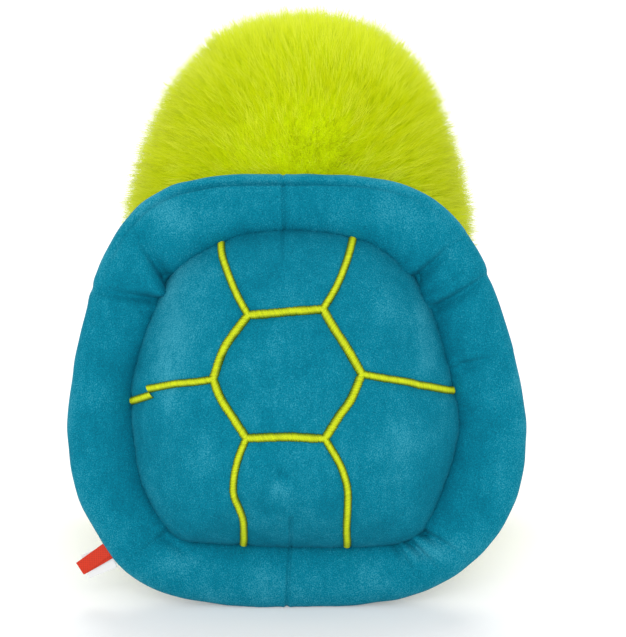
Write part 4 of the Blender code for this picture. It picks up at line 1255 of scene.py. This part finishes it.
def grow_pile(skin, body, panels, comb, cover, pile, scene, lift=0.0):
    """Long pile on a skin, in panels of their own, from values for each vertex."""
    sizes = scene.turtle_pile
    mesh = skin.data.copy()
    normals = normals_of(mesh)
    comb = comb - normals * np.sum(comb * normals, axis=1, keepdims=True)
    comb /= np.maximum(np.linalg.norm(comb, axis=1, keepdims=True), 1e-6)
    outward = normals + comb * 0.15
    give(mesh, "comb", comb, "FLOAT_VECTOR")
    give(mesh, "outward", outward, "FLOAT_VECTOR")
    give(mesh, "lift", lift + np.zeros(len(outward)))
    give(mesh, "cover", cover)
    give(mesh, "pile", pile)
    places = places_of(mesh)
    middle = places.mean(axis=0)
    centres = np.empty(len(mesh.polygons) * 3)
    mesh.polygons.foreach_get("center", centres)
    x, y = (centres.reshape(-1, 3) - middle).T[:2]
    part = ((np.arctan2(y, x) / math.tau + 0.5) * panels).astype(int) % panels
    panel = mesh.attributes.new("panel", "INT", "FACE")
    panel.data.foreach_set("value", part)
    base = trial_object("pile_base", mesh)
    tufts = bpy.data.collections.new("tufts")
    for number in range(LOCKS):
        lock = tuft(sizes.seed * 10 + number, sizes.head_length, sizes.strand)
        tufts.objects.link(bpy.data.objects.new("tuft", lock))
    tints = (sizes.root[:], sizes.tip[:], sizes.pale[:])
    material = material_of(long_pile_finish, "lime_long_pile", *tints)
    spacing = sizes.spacing * ((1.0 if body == "head" else 1.12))
    for number in range(panels):
        values = {"Tufts": tufts, "Spacing": spacing, "Panel": number, "Twist": 0.5}
        values |= {"Seed": sizes.seed + number, "Material": material}
        name = skin.name.replace("skin", "pile") + (f"_{number + 1}" if panels > 1 else "")
        hairs = grown(name, base, pile_tree(), **values)
        keep_off_floor(hairs, OFF_FLOOR)
        dressed(name, hairs, material, body)
    bpy.data.objects.remove(base, do_unlink=True)
    for made in list(tufts.objects):
        bpy.data.objects.remove(made, do_unlink=True)
    bpy.data.collections.remove(tufts)


def eye_seats():
    """For each side, the place and outward direction of the eye on the head."""
    seats = {}
    for side, azimuth in (("left", -EYE_AZIMUTH), ("right", EYE_AZIMUTH - math.pi)):
        seats[side] = (
            HEAD.point(azimuth, EYE_LATITUDE, EYE_STANDOFF),
            HEAD.normal(azimuth, EYE_LATITUDE),
        )
    return seats


def ribbon_mesh(name, width, path, thick, shear=0.0):
    """A ribbon along a path in its own Y-Z plane, which slides sideways as it goes."""
    run = np.gradient(path, axis=0)
    run /= np.linalg.norm(run, axis=1, keepdims=True)
    turns = math.tau * (np.arange(24) + 0.5) / 24
    c, s = (np.sign(f) * np.abs(f) ** 0.25 for f in (np.cos(turns), np.sin(turns)))
    slide = shear * np.linspace(0, 1, len(path))[:, None]
    x = width / 2 * c[None] + slide
    y = path[:, :1] - run[:, 1:] * thick / 2 * s[None]
    z = path[:, 1:] + run[:, :1] * thick / 2 * s[None]
    rows = np.stack((x, y, z), -1)
    ends = [(slide[k, 0], *path[k]) for k in (0, -1)]
    return closed_mesh(name, rows, *ends)


def from_label(places, sizes, turn=0.0, shift=(0.0, 0.0, 0.0)):
    """Places in the labels' own frame (along the seam, away from it, out) in the scene's."""
    at = LABEL_ANGLE
    reach = rim_edge(sizes, at) + 0.0005
    x, y, z = np.asarray(places).T
    x, y = x * math.cos(turn) - y * math.sin(turn), x * math.sin(turn) + y * math.cos(turn)
    x, y, z = x + shift[0], y + shift[1] + reach, z + shift[2]
    across = y * math.cos(at) - x * math.sin(at)
    up = sizes.middle + y * math.sin(at) + x * math.cos(at)
    return from_shell(np.stack((across, z, up), 1), sizes)


def limb_frame(kind, side):
    """The limb's joint and directions: along its seam, out along it, and square to both."""
    motion, droop = LIMBS[kind][:2]
    joint = next(j for j in frame["joints"] if j["name"] == f"{kind}_{side}_{motion}")
    hinge = np.array(joint["axis"], float)
    droop = math.radians(droop)
    out = np.array((-hinge[1] * math.cos(droop), hinge[0] * math.cos(droop), -math.sin(droop)))
    return np.array(joint["pos_m"], float), np.stack((hinge, out, np.cross(hinge, out)))


def limb_rows(kind, around, steps):
    """Sections of a limb in its own frame, from its seam to its round end."""
    _, _, long, seam, wide, thick = LIMBS[kind]
    knots = [(-0.0033, seam * 0.97, 0.0014), (-0.0020, seam, 0.0029), (0.0, seam, 0.0035)]
    knots += [(a * long, w * wide, t * thick) for a, w, t in LIMB_SHARES]
    knots += [(long * 0.985, wide * 0.34, thick * 0.34), (long * 0.999, wide * 0.06, thick * 0.06)]
    knots = np.array(knots)
    far = np.concatenate(((0,), np.cumsum(np.linalg.norm(np.diff(knots, axis=0), axis=1))))
    at = np.linspace(0, far[-1], steps)
    pad = 2
    line = np.stack([np.interp(at, far, knots[:, k]) for k in range(3)], 1)
    longer = np.vstack((np.repeat(line[:1], pad, 0), line, np.repeat(line[-1:], pad, 0)))
    line = sum(longer[k : k + steps] for k in range(2 * pad + 1)) / (2 * pad + 1)
    turns = math.tau * np.arange(around) / around
    rows = np.empty((steps, around, 3))
    rows[..., 0] = line[:, 1:2] * np.cos(turns)
    rows[..., 1] = line[:, :1]
    rows[..., 2] = line[:, 2:] * np.sin(turns)
    return rows, (0, line[0, 0], 0), (0, line[-1, 0] + 0.0002, 0)


# Operators


class PieceOperator(bpy.types.Operator):
    """Builds pieces of the turtle."""

    bl_options = {"REGISTER", "UNDO"}


class TURTLE_OT_shell_rim(PieceOperator):
    """Sews the puffed rim round the shell, with its tucks and its seams."""

    bl_idname = "turtle.shell_rim"
    bl_label = "Shell rim"

    def execute(self, context):
        sizes = context.scene.turtle_shell
        mesh = shaped_rim(sizes, 900, 96)
        set_places(mesh, from_shell(places_of(mesh), sizes))
        keep_off_floor(mesh, OFF_FLOOR)
        nodes = ("shell_rim_cover", "shell_rim_stuffing")
        material = shell_cloth(context.scene)
        dressed("shell_rim", mesh, material, "torso", nodes)
        return {"FINISHED"}


class TURTLE_OT_shell_dome(PieceOperator):
    """Puffs the shell's cushion, pulled in along its embroidery, and sews on its satin stitch."""

    bl_idname = "turtle.shell_dome"
    bl_label = "Shell cushion and embroidery"

    def execute(self, context):
        scene = context.scene
        sizes, stitches = scene.turtle_shell, scene.turtle_stitch
        mesh = shaped_dome(sizes, 720, 64)
        surface = surface_of(mesh)
        thread = material_of(thread_finish, "lime_satin", stitches.low[:], stitches.lit[:])
        for name, lines in all_routes(sizes).items():
            closed = name.endswith("hexagon")
            wide = stitches.half_width * (stitches.hexagon if closed else 1)
            laid = [self.laid_on(surface, line, closed, sizes) for line in lines]
            lines, ups = zip(*laid)
            band = satin(name, lines, ups, wide, scene, closed)
            piece_name = name.replace("embroidery", "stitch")
            dressed(piece_name, band, thread, "torso", [name])
        set_places(mesh, from_shell(places_of(mesh), sizes))
        nodes = ("shell_dome_cover", "shell_stuffing")
        dressed("shell_dome", mesh, shell_cloth(scene), "torso", nodes)
        return {"FINISHED"}

    def laid_on(self, surface, line, closed, sizes):
        """A line's places on the cushion, and the directions square to it, in the scene."""
        hits = [surface.ray_cast(Vector((x, 0.2, z)), Vector((0, -1, 0))) for x, z in line]
        hits = [(hit[0], hit[1]) for hit in hits if hit[0] is not None]
        places, ups = np.array([hit[0] for hit in hits]), np.array([hit[1] for hit in hits])
        for _ in range(6):
            soft = (np.roll(ups, 1, 0) + ups + np.roll(ups, -1, 0)) / 3
            ups = soft if closed else np.vstack((ups[:1], soft[1:-1], ups[-1:]))
        base = from_shell(places, sizes)
        ups = from_shell(places + ups * 0.001, sizes) - base
        return base, ups / np.linalg.norm(ups, axis=1, keepdims=True)


class TURTLE_OT_shell_underside(PieceOperator):
    """Closes the shell with a flat panel against the back."""

    bl_idname = "turtle.shell_underside"
    bl_label = "Shell underside"

    def execute(self, context):
        sizes = context.scene.turtle_shell
        angles = math.tau * np.arange(200)[None, :] / 200
        shares = (np.arange(16)[:, None] + 1) / 16
        radii = shares * dome_edge(sizes, angles)
        out = -UNDER_SEAM - (sizes.underside_depth - UNDER_SEAM) * (1 - shares**6) ** 0.5
        up = sizes.middle + radii * np.sin(angles)
        rows = np.stack(np.broadcast_arrays(radii * np.cos(angles), out, up), -1)
        low, high = (0, -sizes.underside_depth, sizes.middle), (0, -UNDER_SEAM, sizes.middle)
        mesh = closed_mesh("shell_underside", rows, low, high)
        places = places_of(mesh)
        flat = places[:, (0, 2)]
        press(mesh, 0.0004 * unevenness(flat, 0.02, 21) * (places[:, 1] < -0.004))
        set_places(mesh, from_shell(places_of(mesh), sizes))
        material = shell_cloth(context.scene)
        dressed("underside_panel", mesh, material, "torso", ["shell_underside"])
        return {"FINISHED"}


class TURTLE_OT_labels(PieceOperator):
    """Sews the bare folded red label and the bare white one into the rim's seam."""

    bl_idname = "turtle.labels"
    bl_label = "Labels"

    def execute(self, context):
        scene = context.scene
        sizes, face = scene.turtle_shell, scene.turtle_face
        t = np.linspace(0, 1, 26)
        along = -SEWN_IN + (face.brand_length + SEWN_IN) * t
        bend = -0.0016 * (t**2)
        fold = np.linspace(np.pi / 2, -np.pi / 2, 9)[1:-1]
        apart = 0.00045  # half the distance between the folded label's two layers
        tip = np.stack((along[-1] + apart * np.cos(fold), bend[-1] + apart * np.sin(fold)), 1)
        upper = np.stack((along, bend + apart), 1)
        lower = np.stack((along, bend - apart), 1)[::-1]
        path = np.vstack((upper, tip, lower))
        mesh = ribbon_mesh("brand_ribbon", face.brand_width, path, 0.00032, -0.0022)
        set_places(mesh, from_label(places_of(mesh), sizes, 0.0, (0, 0, 0.0008)))
        tint = np.array(face.brand)
        material = material_of(ribbon_finish, "red_woven", tuple(tint), tuple(tint * 0.7))
        dressed("brand_ribbon", mesh, material, "labels", ["brand_label"])
        along = -SEWN_IN + (face.care_length + SEWN_IN) * t
        path = np.stack((along, -0.0010 * t + 0.0008 * t**3), 1)
        mesh = ribbon_mesh("care_ribbon", face.care_width, path, 0.00028)
        turn, shift = math.radians(-12), (-0.005, 0.0, -0.0008)
        set_places(mesh, from_label(places_of(mesh), sizes, turn, shift))
        tint = np.array(face.care)
        material = material_of(ribbon_finish, "white_ribbon", tuple(tint), tuple(tint * 0.85))
        piece = dressed("care_ribbon", mesh, material, "labels", ["care_label"])
        return {"FINISHED"}


class TURTLE_OT_torso(PieceOperator):
    """Stuffs the torso, sits it on the floor, leans it on the shell and grows its pile."""

    bl_idname = "turtle.torso"
    bl_label = "Torso"

    def execute(self, context):
        scene = context.scene
        sizes, shell = scene.turtle_pile, scene.turtle_shell
        mesh = skin_of(TORSO, "torso_skin", 160, 80, 31)
        places = places_of(mesh)
        out, within = out_of_shell(places, shell)
        limit = -shell.underside_depth - 0.0006
        back = np.where(within, np.maximum(out - limit, 0), 0)[:, None]
        places -= back * (0, math.cos(shell.lean), math.sin(shell.lean))
        places[:, 2] = np.maximum(places[:, 2], SKIN_OFF_FLOOR["torso"])
        set_places(mesh, places)
        nodes = ("body_cover", "body_stuffing")
        skin = dressed("torso_skin", mesh, pile_ground(scene), "torso", nodes)
        fibre = np.array((0.55, 0.50, 0.42))
        pouch = material_of(ribbon_finish, "pouch_cloth", tuple(fibre), tuple(fibre * 0.7))
        dress_node("pellet_pouch", pouch)
        comb = places - TORSO.centre
        comb[:, 2] = 0
        comb /= np.maximum(np.linalg.norm(comb, axis=1, keepdims=True), 1e-6)
        comb = comb * 0.6 + (0, 0, -1)
        near, wide, high = BELLY
        oval = np.hypot(places[:, 0] / wide, (places[:, 2] - near) / high)
        oval = np.where(places[:, 1] < 0, oval, 9)
        room = squeezed_by_shell(places, scene)
        cover = (places[:, 2] > 0.0035) & (room > 0.3) & (oval > 1.03)
        cover &= (HEAD.depth_of(places) > 0.9) | (places[:, 2] < 0.104)
        cover &= NECK.depth_of(places) > 0.95
        pile = sizes.body_length / sizes.head_length * np.minimum(0.35 + 0.65 * room, 1)
        pile = pile * (0.55 + 0.45 * smooth_share(oval, 1.0, 1.5))
        pile *= 0.5 + 0.5 * smooth_share(places[:, 2], 0.002, 0.015)
        values = (comb, cover.astype(float), pile)
        grow_pile(skin, "torso", 3, *values, scene)
        return {"FINISHED"}


class TURTLE_OT_belly(PieceOperator):
    """Lays the oval of short-pile cloth on the belly."""

    bl_idname = "turtle.belly"
    bl_label = "Belly panel"

    def execute(self, context):
        near, wide, high = BELLY
        turns = math.tau * np.arange(180)[None, :] / 180
        shares = np.linspace(0, 1, 25)[1:] ** 0.8
        front = 0.0024 + 0.0012 * (1 - shares**4)
        front[-1] = 0.0016
        away = np.concatenate((front, (-0.0004, -0.0010)))[:, None]
        shares = np.concatenate((shares, (0.985, 0.93)))[:, None]
        x, z = shares * wide * np.cos(turns), near + shares * high * np.sin(turns)
        rows = self.on_torso(x, z, away)
        poles = [self.on_torso(np.zeros(1), np.array([near]), k)[0] for k in (0.0036, -0.0010)]
        mesh = closed_mesh("belly_oval", rows, *poles)
        press(mesh, 0.0002 * unevenness(places_of(mesh), 0.010, 41))
        material = panel_cloth(context.scene)
        dressed("belly_oval", mesh, material, "torso", ["belly_panel"])
        return {"FINISHED"}

    def on_torso(self, x, z, away):
        """Places on the torso's front at (x, z), moved outwards."""
        height = z - TORSO.centre[2]
        across = x / TORSO.half_width
        y = -TORSO.half_depth * np.sqrt(np.maximum(TORSO.radius(height) ** 2 - across**2, 0))
        up = np.where(height > 0, height / TORSO.rise, height / TORSO.drop) ** 3
        out = np.stack(np.broadcast_arrays(across, y / TORSO.half_depth, up), -1)
        out /= np.linalg.norm(out, axis=-1, keepdims=True)
        places = np.stack(np.broadcast_arrays(x, TORSO.centre[1] + y, z), -1)
        return places + out * np.asarray(away)[..., None]


class TURTLE_OT_neck(PieceOperator):
    """Wraps the wad of fill that carries the head."""

    bl_idname = "turtle.neck"
    bl_label = "Neck"

    def execute(self, context):
        scene = context.scene
        mesh = skin_of(NECK, "neck_skin", 96, 48, 51)
        dressed("neck_skin", mesh, pile_ground(scene), "neck", ["neck_wad"])
        return {"FINISHED"}


class TURTLE_OT_head(PieceOperator):
    """Stuffs the head and grows its pile from the whorl on its back."""

    bl_idname = "turtle.head"
    bl_label = "Head"

    def execute(self, context):
        scene = context.scene
        mesh = skin_of(HEAD, "head_skin", 200, 100, 61)
        places = places_of(mesh)
        x, z = places[:, 0], places[:, 2]
        # Fuller under the crown, with a jowl on its left, and leaning a little to its right
        fuller = 1 + 0.12 * hump(z, 0.297, 0.010)
        jowl = 0.0025 * hump(z, 0.224, 0.014) * smooth_share(x, 0.0, 0.06)
        places[:, :2] *= fuller[:, None]
        places[:, 0] += jowl - 0.0010 - 0.0028 * smooth_share(z, 0.215, 0.300)
        places[:, 2] = z - 0.0022 * smooth_share(z, 0.285, 0.304)
        set_places(mesh, places)
        nodes = ("head_cover", "head_stuffing")
        skin = dressed("head_skin", mesh, pile_ground(scene), "head", nodes)
        places = places_of(mesh)
        comb = places - WHORL
        comb /= np.maximum(np.linalg.norm(comb, axis=1, keepdims=True), 1e-6)
        comb += np.array((0, 0, -0.3)) * smooth_share(-places[:, 1], -0.03, 0.03)[:, None]
        comb += 0.22 * np.stack([unevenness(places, 0.022, 70 + k) for k in range(3)], 1)
        eyes = np.full(len(places), np.inf)
        for seat, _ in eye_seats().values():
            eyes = np.minimum(eyes, np.linalg.norm(places - seat, axis=1))
        far = (places - MUZZLE.centre) / (MUZZLE.half_width, MUZZLE.half_depth, MUZZLE.rise)
        snout = np.linalg.norm(far, axis=1)
        room = squeezed_by_shell(places, scene)
        cover = (eyes > 0.0112) & (snout > 1.02) & (NECK.depth_of(places) > 0.9) & (room > 0.05)
        pile = np.minimum(0.35 + 0.65 * room, 1)
        pile = pile * (0.30 + 0.70 * smooth_share(eyes, 0.011, 0.030))
        pile *= 0.35 + 0.65 * smooth_share(snout, 1.0, 2.0)
        # Round the ruffled place the pile stands upright, and its tufts get painted shade in their
        # tones
        lift = 1 - smooth_share(np.linalg.norm(places - RUFFLED, axis=1), 0.006, 0.030)
        values = (comb, cover.astype(float), pile, scene, lift)
        grow_pile(skin, "head", 6, *values)
        return {"FINISHED"}


class TURTLE_OT_muzzle(PieceOperator):
    """Stuffs the short-pile snout and stitches its nostrils and its smile."""

    bl_idname = "turtle.muzzle"
    bl_label = "Muzzle"

    def execute(self, context):
        scene = context.scene
        stitches = scene.turtle_stitch
        mesh = skin_of(MUZZLE, "muzzle_skin", 128, 64, 81)
        places = places_of(mesh)
        below = smooth_share(MUZZLE.centre[2] + 0.012 - places[:, 2], 0, 0.003)
        press(mesh, 0.0008 * hump(places[:, 0], 0, 0.0008) * (1 - below))
        nodes = ("muzzle_cover", "muzzle_stuffing")
        dressed("muzzle_skin", mesh, panel_cloth(scene), "head", nodes)
        dark = np.array(stitches.dark)
        # Half as bright at the threads' ends: painted shade where they dive into the cloth
        thread = material_of(thread_finish, "dark_satin", tuple(dark * 0.5), tuple(dark))
        turns = np.radians(np.linspace(-40, 40, 90))
        low, rise = np.radians(-18), np.radians(12)
        mouth = [(t - np.pi / 2, low + rise * (t / turns[0]) ** 2) for t in turns]
        lines = {"mouth_embroidery": (mouth, 0.0009)}
        for side, way in zip(SIDES, (1, -1)):
            middle = -np.pi / 2 + way * math.radians(14)
            spread = np.linspace(-0.0034, 0.0034, 12) / MUZZLE.half_width
            lines["nostril_" + side] = ([(middle + s, math.radians(28)) for s in spread], 0.0022)
        surface = surface_of(mesh)
        for name, (turning, half_width) in lines.items():
            hits = [surface.find_nearest(Vector(MUZZLE.point(a, b)))[0] for a, b in turning]
            ups = np.array([MUZZLE.normal(a, b) for a, b in turning])
            band = satin(name, [np.array(hits)], [ups], half_width, scene)
            piece_name = name.replace("embroidery", "stitch").replace("nostril", "nostril_stitch")
            dressed(piece_name, band, thread, "head", [name])
        return {"FINISHED"}


class TURTLE_OT_eyes(PieceOperator):
    """Sets the glossy eyes in the face."""

    bl_idname = "turtle.eyes"
    bl_label = "Eyes"

    def execute(self, context):
        face = context.scene.turtle_face
        material = material_of(plastic_finish, "black_gloss", face.eye[:])
        washer = material_of(plastic_finish, "white_moulded", (0.78, 0.78, 0.76))
        rise = np.linspace(0, np.pi / 2, 25)[:-1]
        radii = np.concatenate(((0.985, 1.0), np.cos(rise)))[:, None] * face.eye_radius
        heights = EYE_FLANGE + face.eye_rise * np.sin(rise)
        heights = np.concatenate(((0.0, 0.0002), heights))[:, None]
        turns = math.tau * np.arange(72)[None, :] / 72
        rows = (radii * np.cos(turns), radii * np.sin(turns), heights)
        rows = np.stack(np.broadcast_arrays(*rows), -1)
        for side, (seat, normal) in eye_seats().items():
            top = (0, 0, EYE_FLANGE + face.eye_rise)
            mesh = closed_mesh("eye_" + side, rows, (0, 0, 0), top)
            turn = Vector(normal).to_track_quat("Z", "Y").to_matrix().to_4x4()
            mesh.transform(Matrix.Translation(Vector(seat)) @ turn)
            dressed("gloss_eye_" + side, mesh, material, "head", ["eye_" + side])
            dress_node("eye_washer_" + side, washer)
        return {"FINISHED"}


class TURTLE_OT_limbs(PieceOperator):
    """Stuffs both arms and both legs, and grows their pile."""

    bl_idname = "turtle.limbs"
    bl_label = "Arms and legs"

    def execute(self, context):
        scene = context.scene
        sizes = scene.turtle_pile
        for number, (kind, side) in enumerate((k, s) for k in LIMBS for s in SIDES):
            body = f"{kind}_{side}"
            origin, axes = limb_frame(kind, side)
            mesh = closed_mesh(body + "_skin", *limb_rows(kind, 96, 72))
            local = places_of(mesh)
            set_places(mesh, local @ axes + origin)
            lumps = unevenness(places_of(mesh), 0.018, 90 + number)
            press(mesh, 0.0005 * lumps * np.clip(local[:, 1] / 0.01, 0, 1))
            keep_off_floor(mesh, SKIN_OFF_FLOOR["limb"])
            places = places_of(mesh)
            nodes = (body + "_cover", body + "_stuffing")
            skin = dressed(body + "_skin", mesh, pile_ground(scene), body, nodes)
            comb = np.tile(axes[1] + (0, 0, -0.35), (len(places), 1))
            comb += 0.15 * np.stack([unevenness(places, 0.015, 95 + k) for k in range(3)], 1)
            cover = (local[:, 1] > -0.001) & (places[:, 2] > 0.0025)
            pile = sizes.limb_length / sizes.head_length * np.ones(len(places))
            # By the seam the pile stands up, and its tufts get painted shade in their tones
            lift = 0.7 * (1 - smooth_share(local[:, 1], 0.004, 0.026))
            values = (comb, cover.astype(float), pile, scene, lift)
            grow_pile(skin, body, 1, *values)
        return {"FINISHED"}


def lamp(name, azimuth, elevation, softness, power):
    """A soft light from far off, at angles in degrees: 0 is the toy's left, 90 is behind it."""
    data = bpy.data.lights.new(name, "SUN")
    data.angle = math.radians(softness)
    data.energy = power
    light = bpy.data.objects.new(name, data)
    a, e = math.radians(azimuth), math.radians(elevation)
    source = Vector((math.cos(a) * math.cos(e), math.sin(a) * math.cos(e), math.sin(e)))
    light.location = source * 2
    light.rotation_euler = source.to_track_quat("Z", "Y").to_euler()
    bpy.context.scene.collection.objects.link(light)


class TURTLE_OT_stage(PieceOperator):
    """Sets up the pale floor, the soft studio light and the camera."""

    bl_idname = "turtle.stage"
    bl_label = "Stage"

    def execute(self, context):
        scene = context.scene
        sizes = scene.turtle_stage
        mesh = bpy.data.meshes.new("floor")
        far = 6.0
        corners = [(-far, -far, 0), (far, -far, 0), (far, far, 0), (-far, far, 0)]
        mesh.from_pydata(corners, [], [(0, 1, 2, 3)])
        floor = link("floor", mesh, self.floor_material(sizes.floor[:]))
        world = bpy.data.worlds.new("studio")
        scene.world = world
        world.use_nodes = True
        nodes, links = world.node_tree.nodes, world.node_tree.links
        background = nodes["Background"]
        pick = nodes.new("ShaderNodeMix")
        pick.data_type = "FLOAT"
        links.new(self.seen_ray(nodes, links), pick.inputs[0])
        pick.inputs[2].default_value = sizes.around
        pick.inputs[3].default_value = 1.0
        background.inputs[0].default_value = (1, 1, 1, 1)
        links.new(pick.outputs[0], background.inputs[1])
        lamp("key", 84.0, 22.0, 50.0, sizes.key)
        lamp("side_left", 0.0, 30.0, 60.0, sizes.fill)
        lamp("side_right", 180.0, 30.0, 60.0, sizes.fill)
        lamp("top", 262.0, 56.0, 45.0, sizes.top)
        lamp("front", 280.0, 24.0, 80.0, sizes.front)
        data = bpy.data.cameras.new("camera")
        data.lens = sizes.focal
        data.sensor_width = 36
        camera = bpy.data.objects.new("camera", data)
        aim = Vector(CAMERA_AIM)
        rise = math.sin(sizes.elevation) * sizes.distance
        back = math.cos(sizes.elevation) * sizes.distance
        camera.location = aim + Vector((0, back, rise))
        camera.rotation_euler = (math.pi / 2 - sizes.elevation, 0, math.pi)
        scene.collection.objects.link(camera)
        scene.camera = camera
        scene.view_settings.view_transform = "Standard"
        return {"FINISHED"}

    def seen_ray(self, nodes, links):
        """1 where the camera looks, straight or through gloss or glass, 0 where light falls."""
        path = nodes.new("ShaderNodeLightPath")
        found = path.outputs["Is Camera Ray"]
        for kind in ("Is Glossy Ray", "Is Transmission Ray"):
            either = nodes.new("ShaderNodeMath")
            either.operation = "MAXIMUM"
            links.new(found, either.inputs[0])
            links.new(path.outputs[kind], either.inputs[1])
            found = either.outputs[0]
        return found

    def floor_material(self, tint):
        """A pale floor that the camera sees as white wherever no shadow falls."""
        material = bpy.data.materials.new("pale_floor")
        material.use_nodes = True
        nodes, links = material.node_tree.nodes, material.node_tree.links
        nodes.clear()
        out = nodes.new("ShaderNodeOutputMaterial")
        plain = nodes.new("ShaderNodeBsdfDiffuse")
        plain.inputs[0].default_value = (*tint, 1)
        seen = nodes.new("ShaderNodeBsdfDiffuse")
        seen.inputs[0].default_value = (0.8, 0.8, 0.8, 1)
        glow = nodes.new("ShaderNodeEmission")
        glow.inputs[1].default_value = 0.24
        both = nodes.new("ShaderNodeAddShader")
        links.new(seen.outputs[0], both.inputs[0])
        links.new(glow.outputs[0], both.inputs[1])
        pick = nodes.new("ShaderNodeMixShader")
        links.new(self.seen_ray(nodes, links), pick.inputs[0])
        links.new(plain.outputs[0], pick.inputs[1])
        links.new(both.outputs[0], pick.inputs[2])
        links.new(pick.outputs[0], out.inputs[0])
        return material


OPERATORS = (
    TURTLE_OT_stage,
    TURTLE_OT_shell_rim,
    TURTLE_OT_shell_dome,
    TURTLE_OT_shell_underside,
    TURTLE_OT_labels,
    TURTLE_OT_torso,
    TURTLE_OT_belly,
    TURTLE_OT_neck,
    TURTLE_OT_head,
    TURTLE_OT_muzzle,
    TURTLE_OT_eyes,
    TURTLE_OT_limbs,
)


class TURTLE_PT_panel(bpy.types.Panel):
    """Lists the turtle's operators and their sizes and colours."""

    bl_idname = "TURTLE_PT_panel"
    bl_label = "Plush turtle"
    bl_space_type = "VIEW_3D"
    bl_region_type = "UI"
    bl_category = "Plush turtle"

    def draw(self, context):
        for operator in OPERATORS:
            self.layout.operator(operator.bl_idname)
        for key in GROUPS:
            box = self.layout.box()
            group = getattr(context.scene, key)
            for field in group.bl_rna.properties:
                if field.identifier not in ("rna_type", "name"):
                    box.prop(group, field.identifier)


def register():
    for group in GROUPS.values():
        bpy.utils.register_class(group)
    for key, group in GROUPS.items():
        setattr(bpy.types.Scene, key, PointerProperty(type=group))
    for made in (*OPERATORS, TURTLE_PT_panel):
        bpy.utils.register_class(made)


def unregister():
    for made in (TURTLE_PT_panel, *reversed(OPERATORS)):
        bpy.utils.unregister_class(made)
    for key in GROUPS:
        delattr(bpy.types.Scene, key)
    for group in GROUPS.values():
        bpy.utils.unregister_class(group)


def main():
    register()
    for operator in OPERATORS:
        group, name = operator.bl_idname.split(".")
        getattr(getattr(bpy.ops, group), name)()


if __name__ == "__main__":
    main()
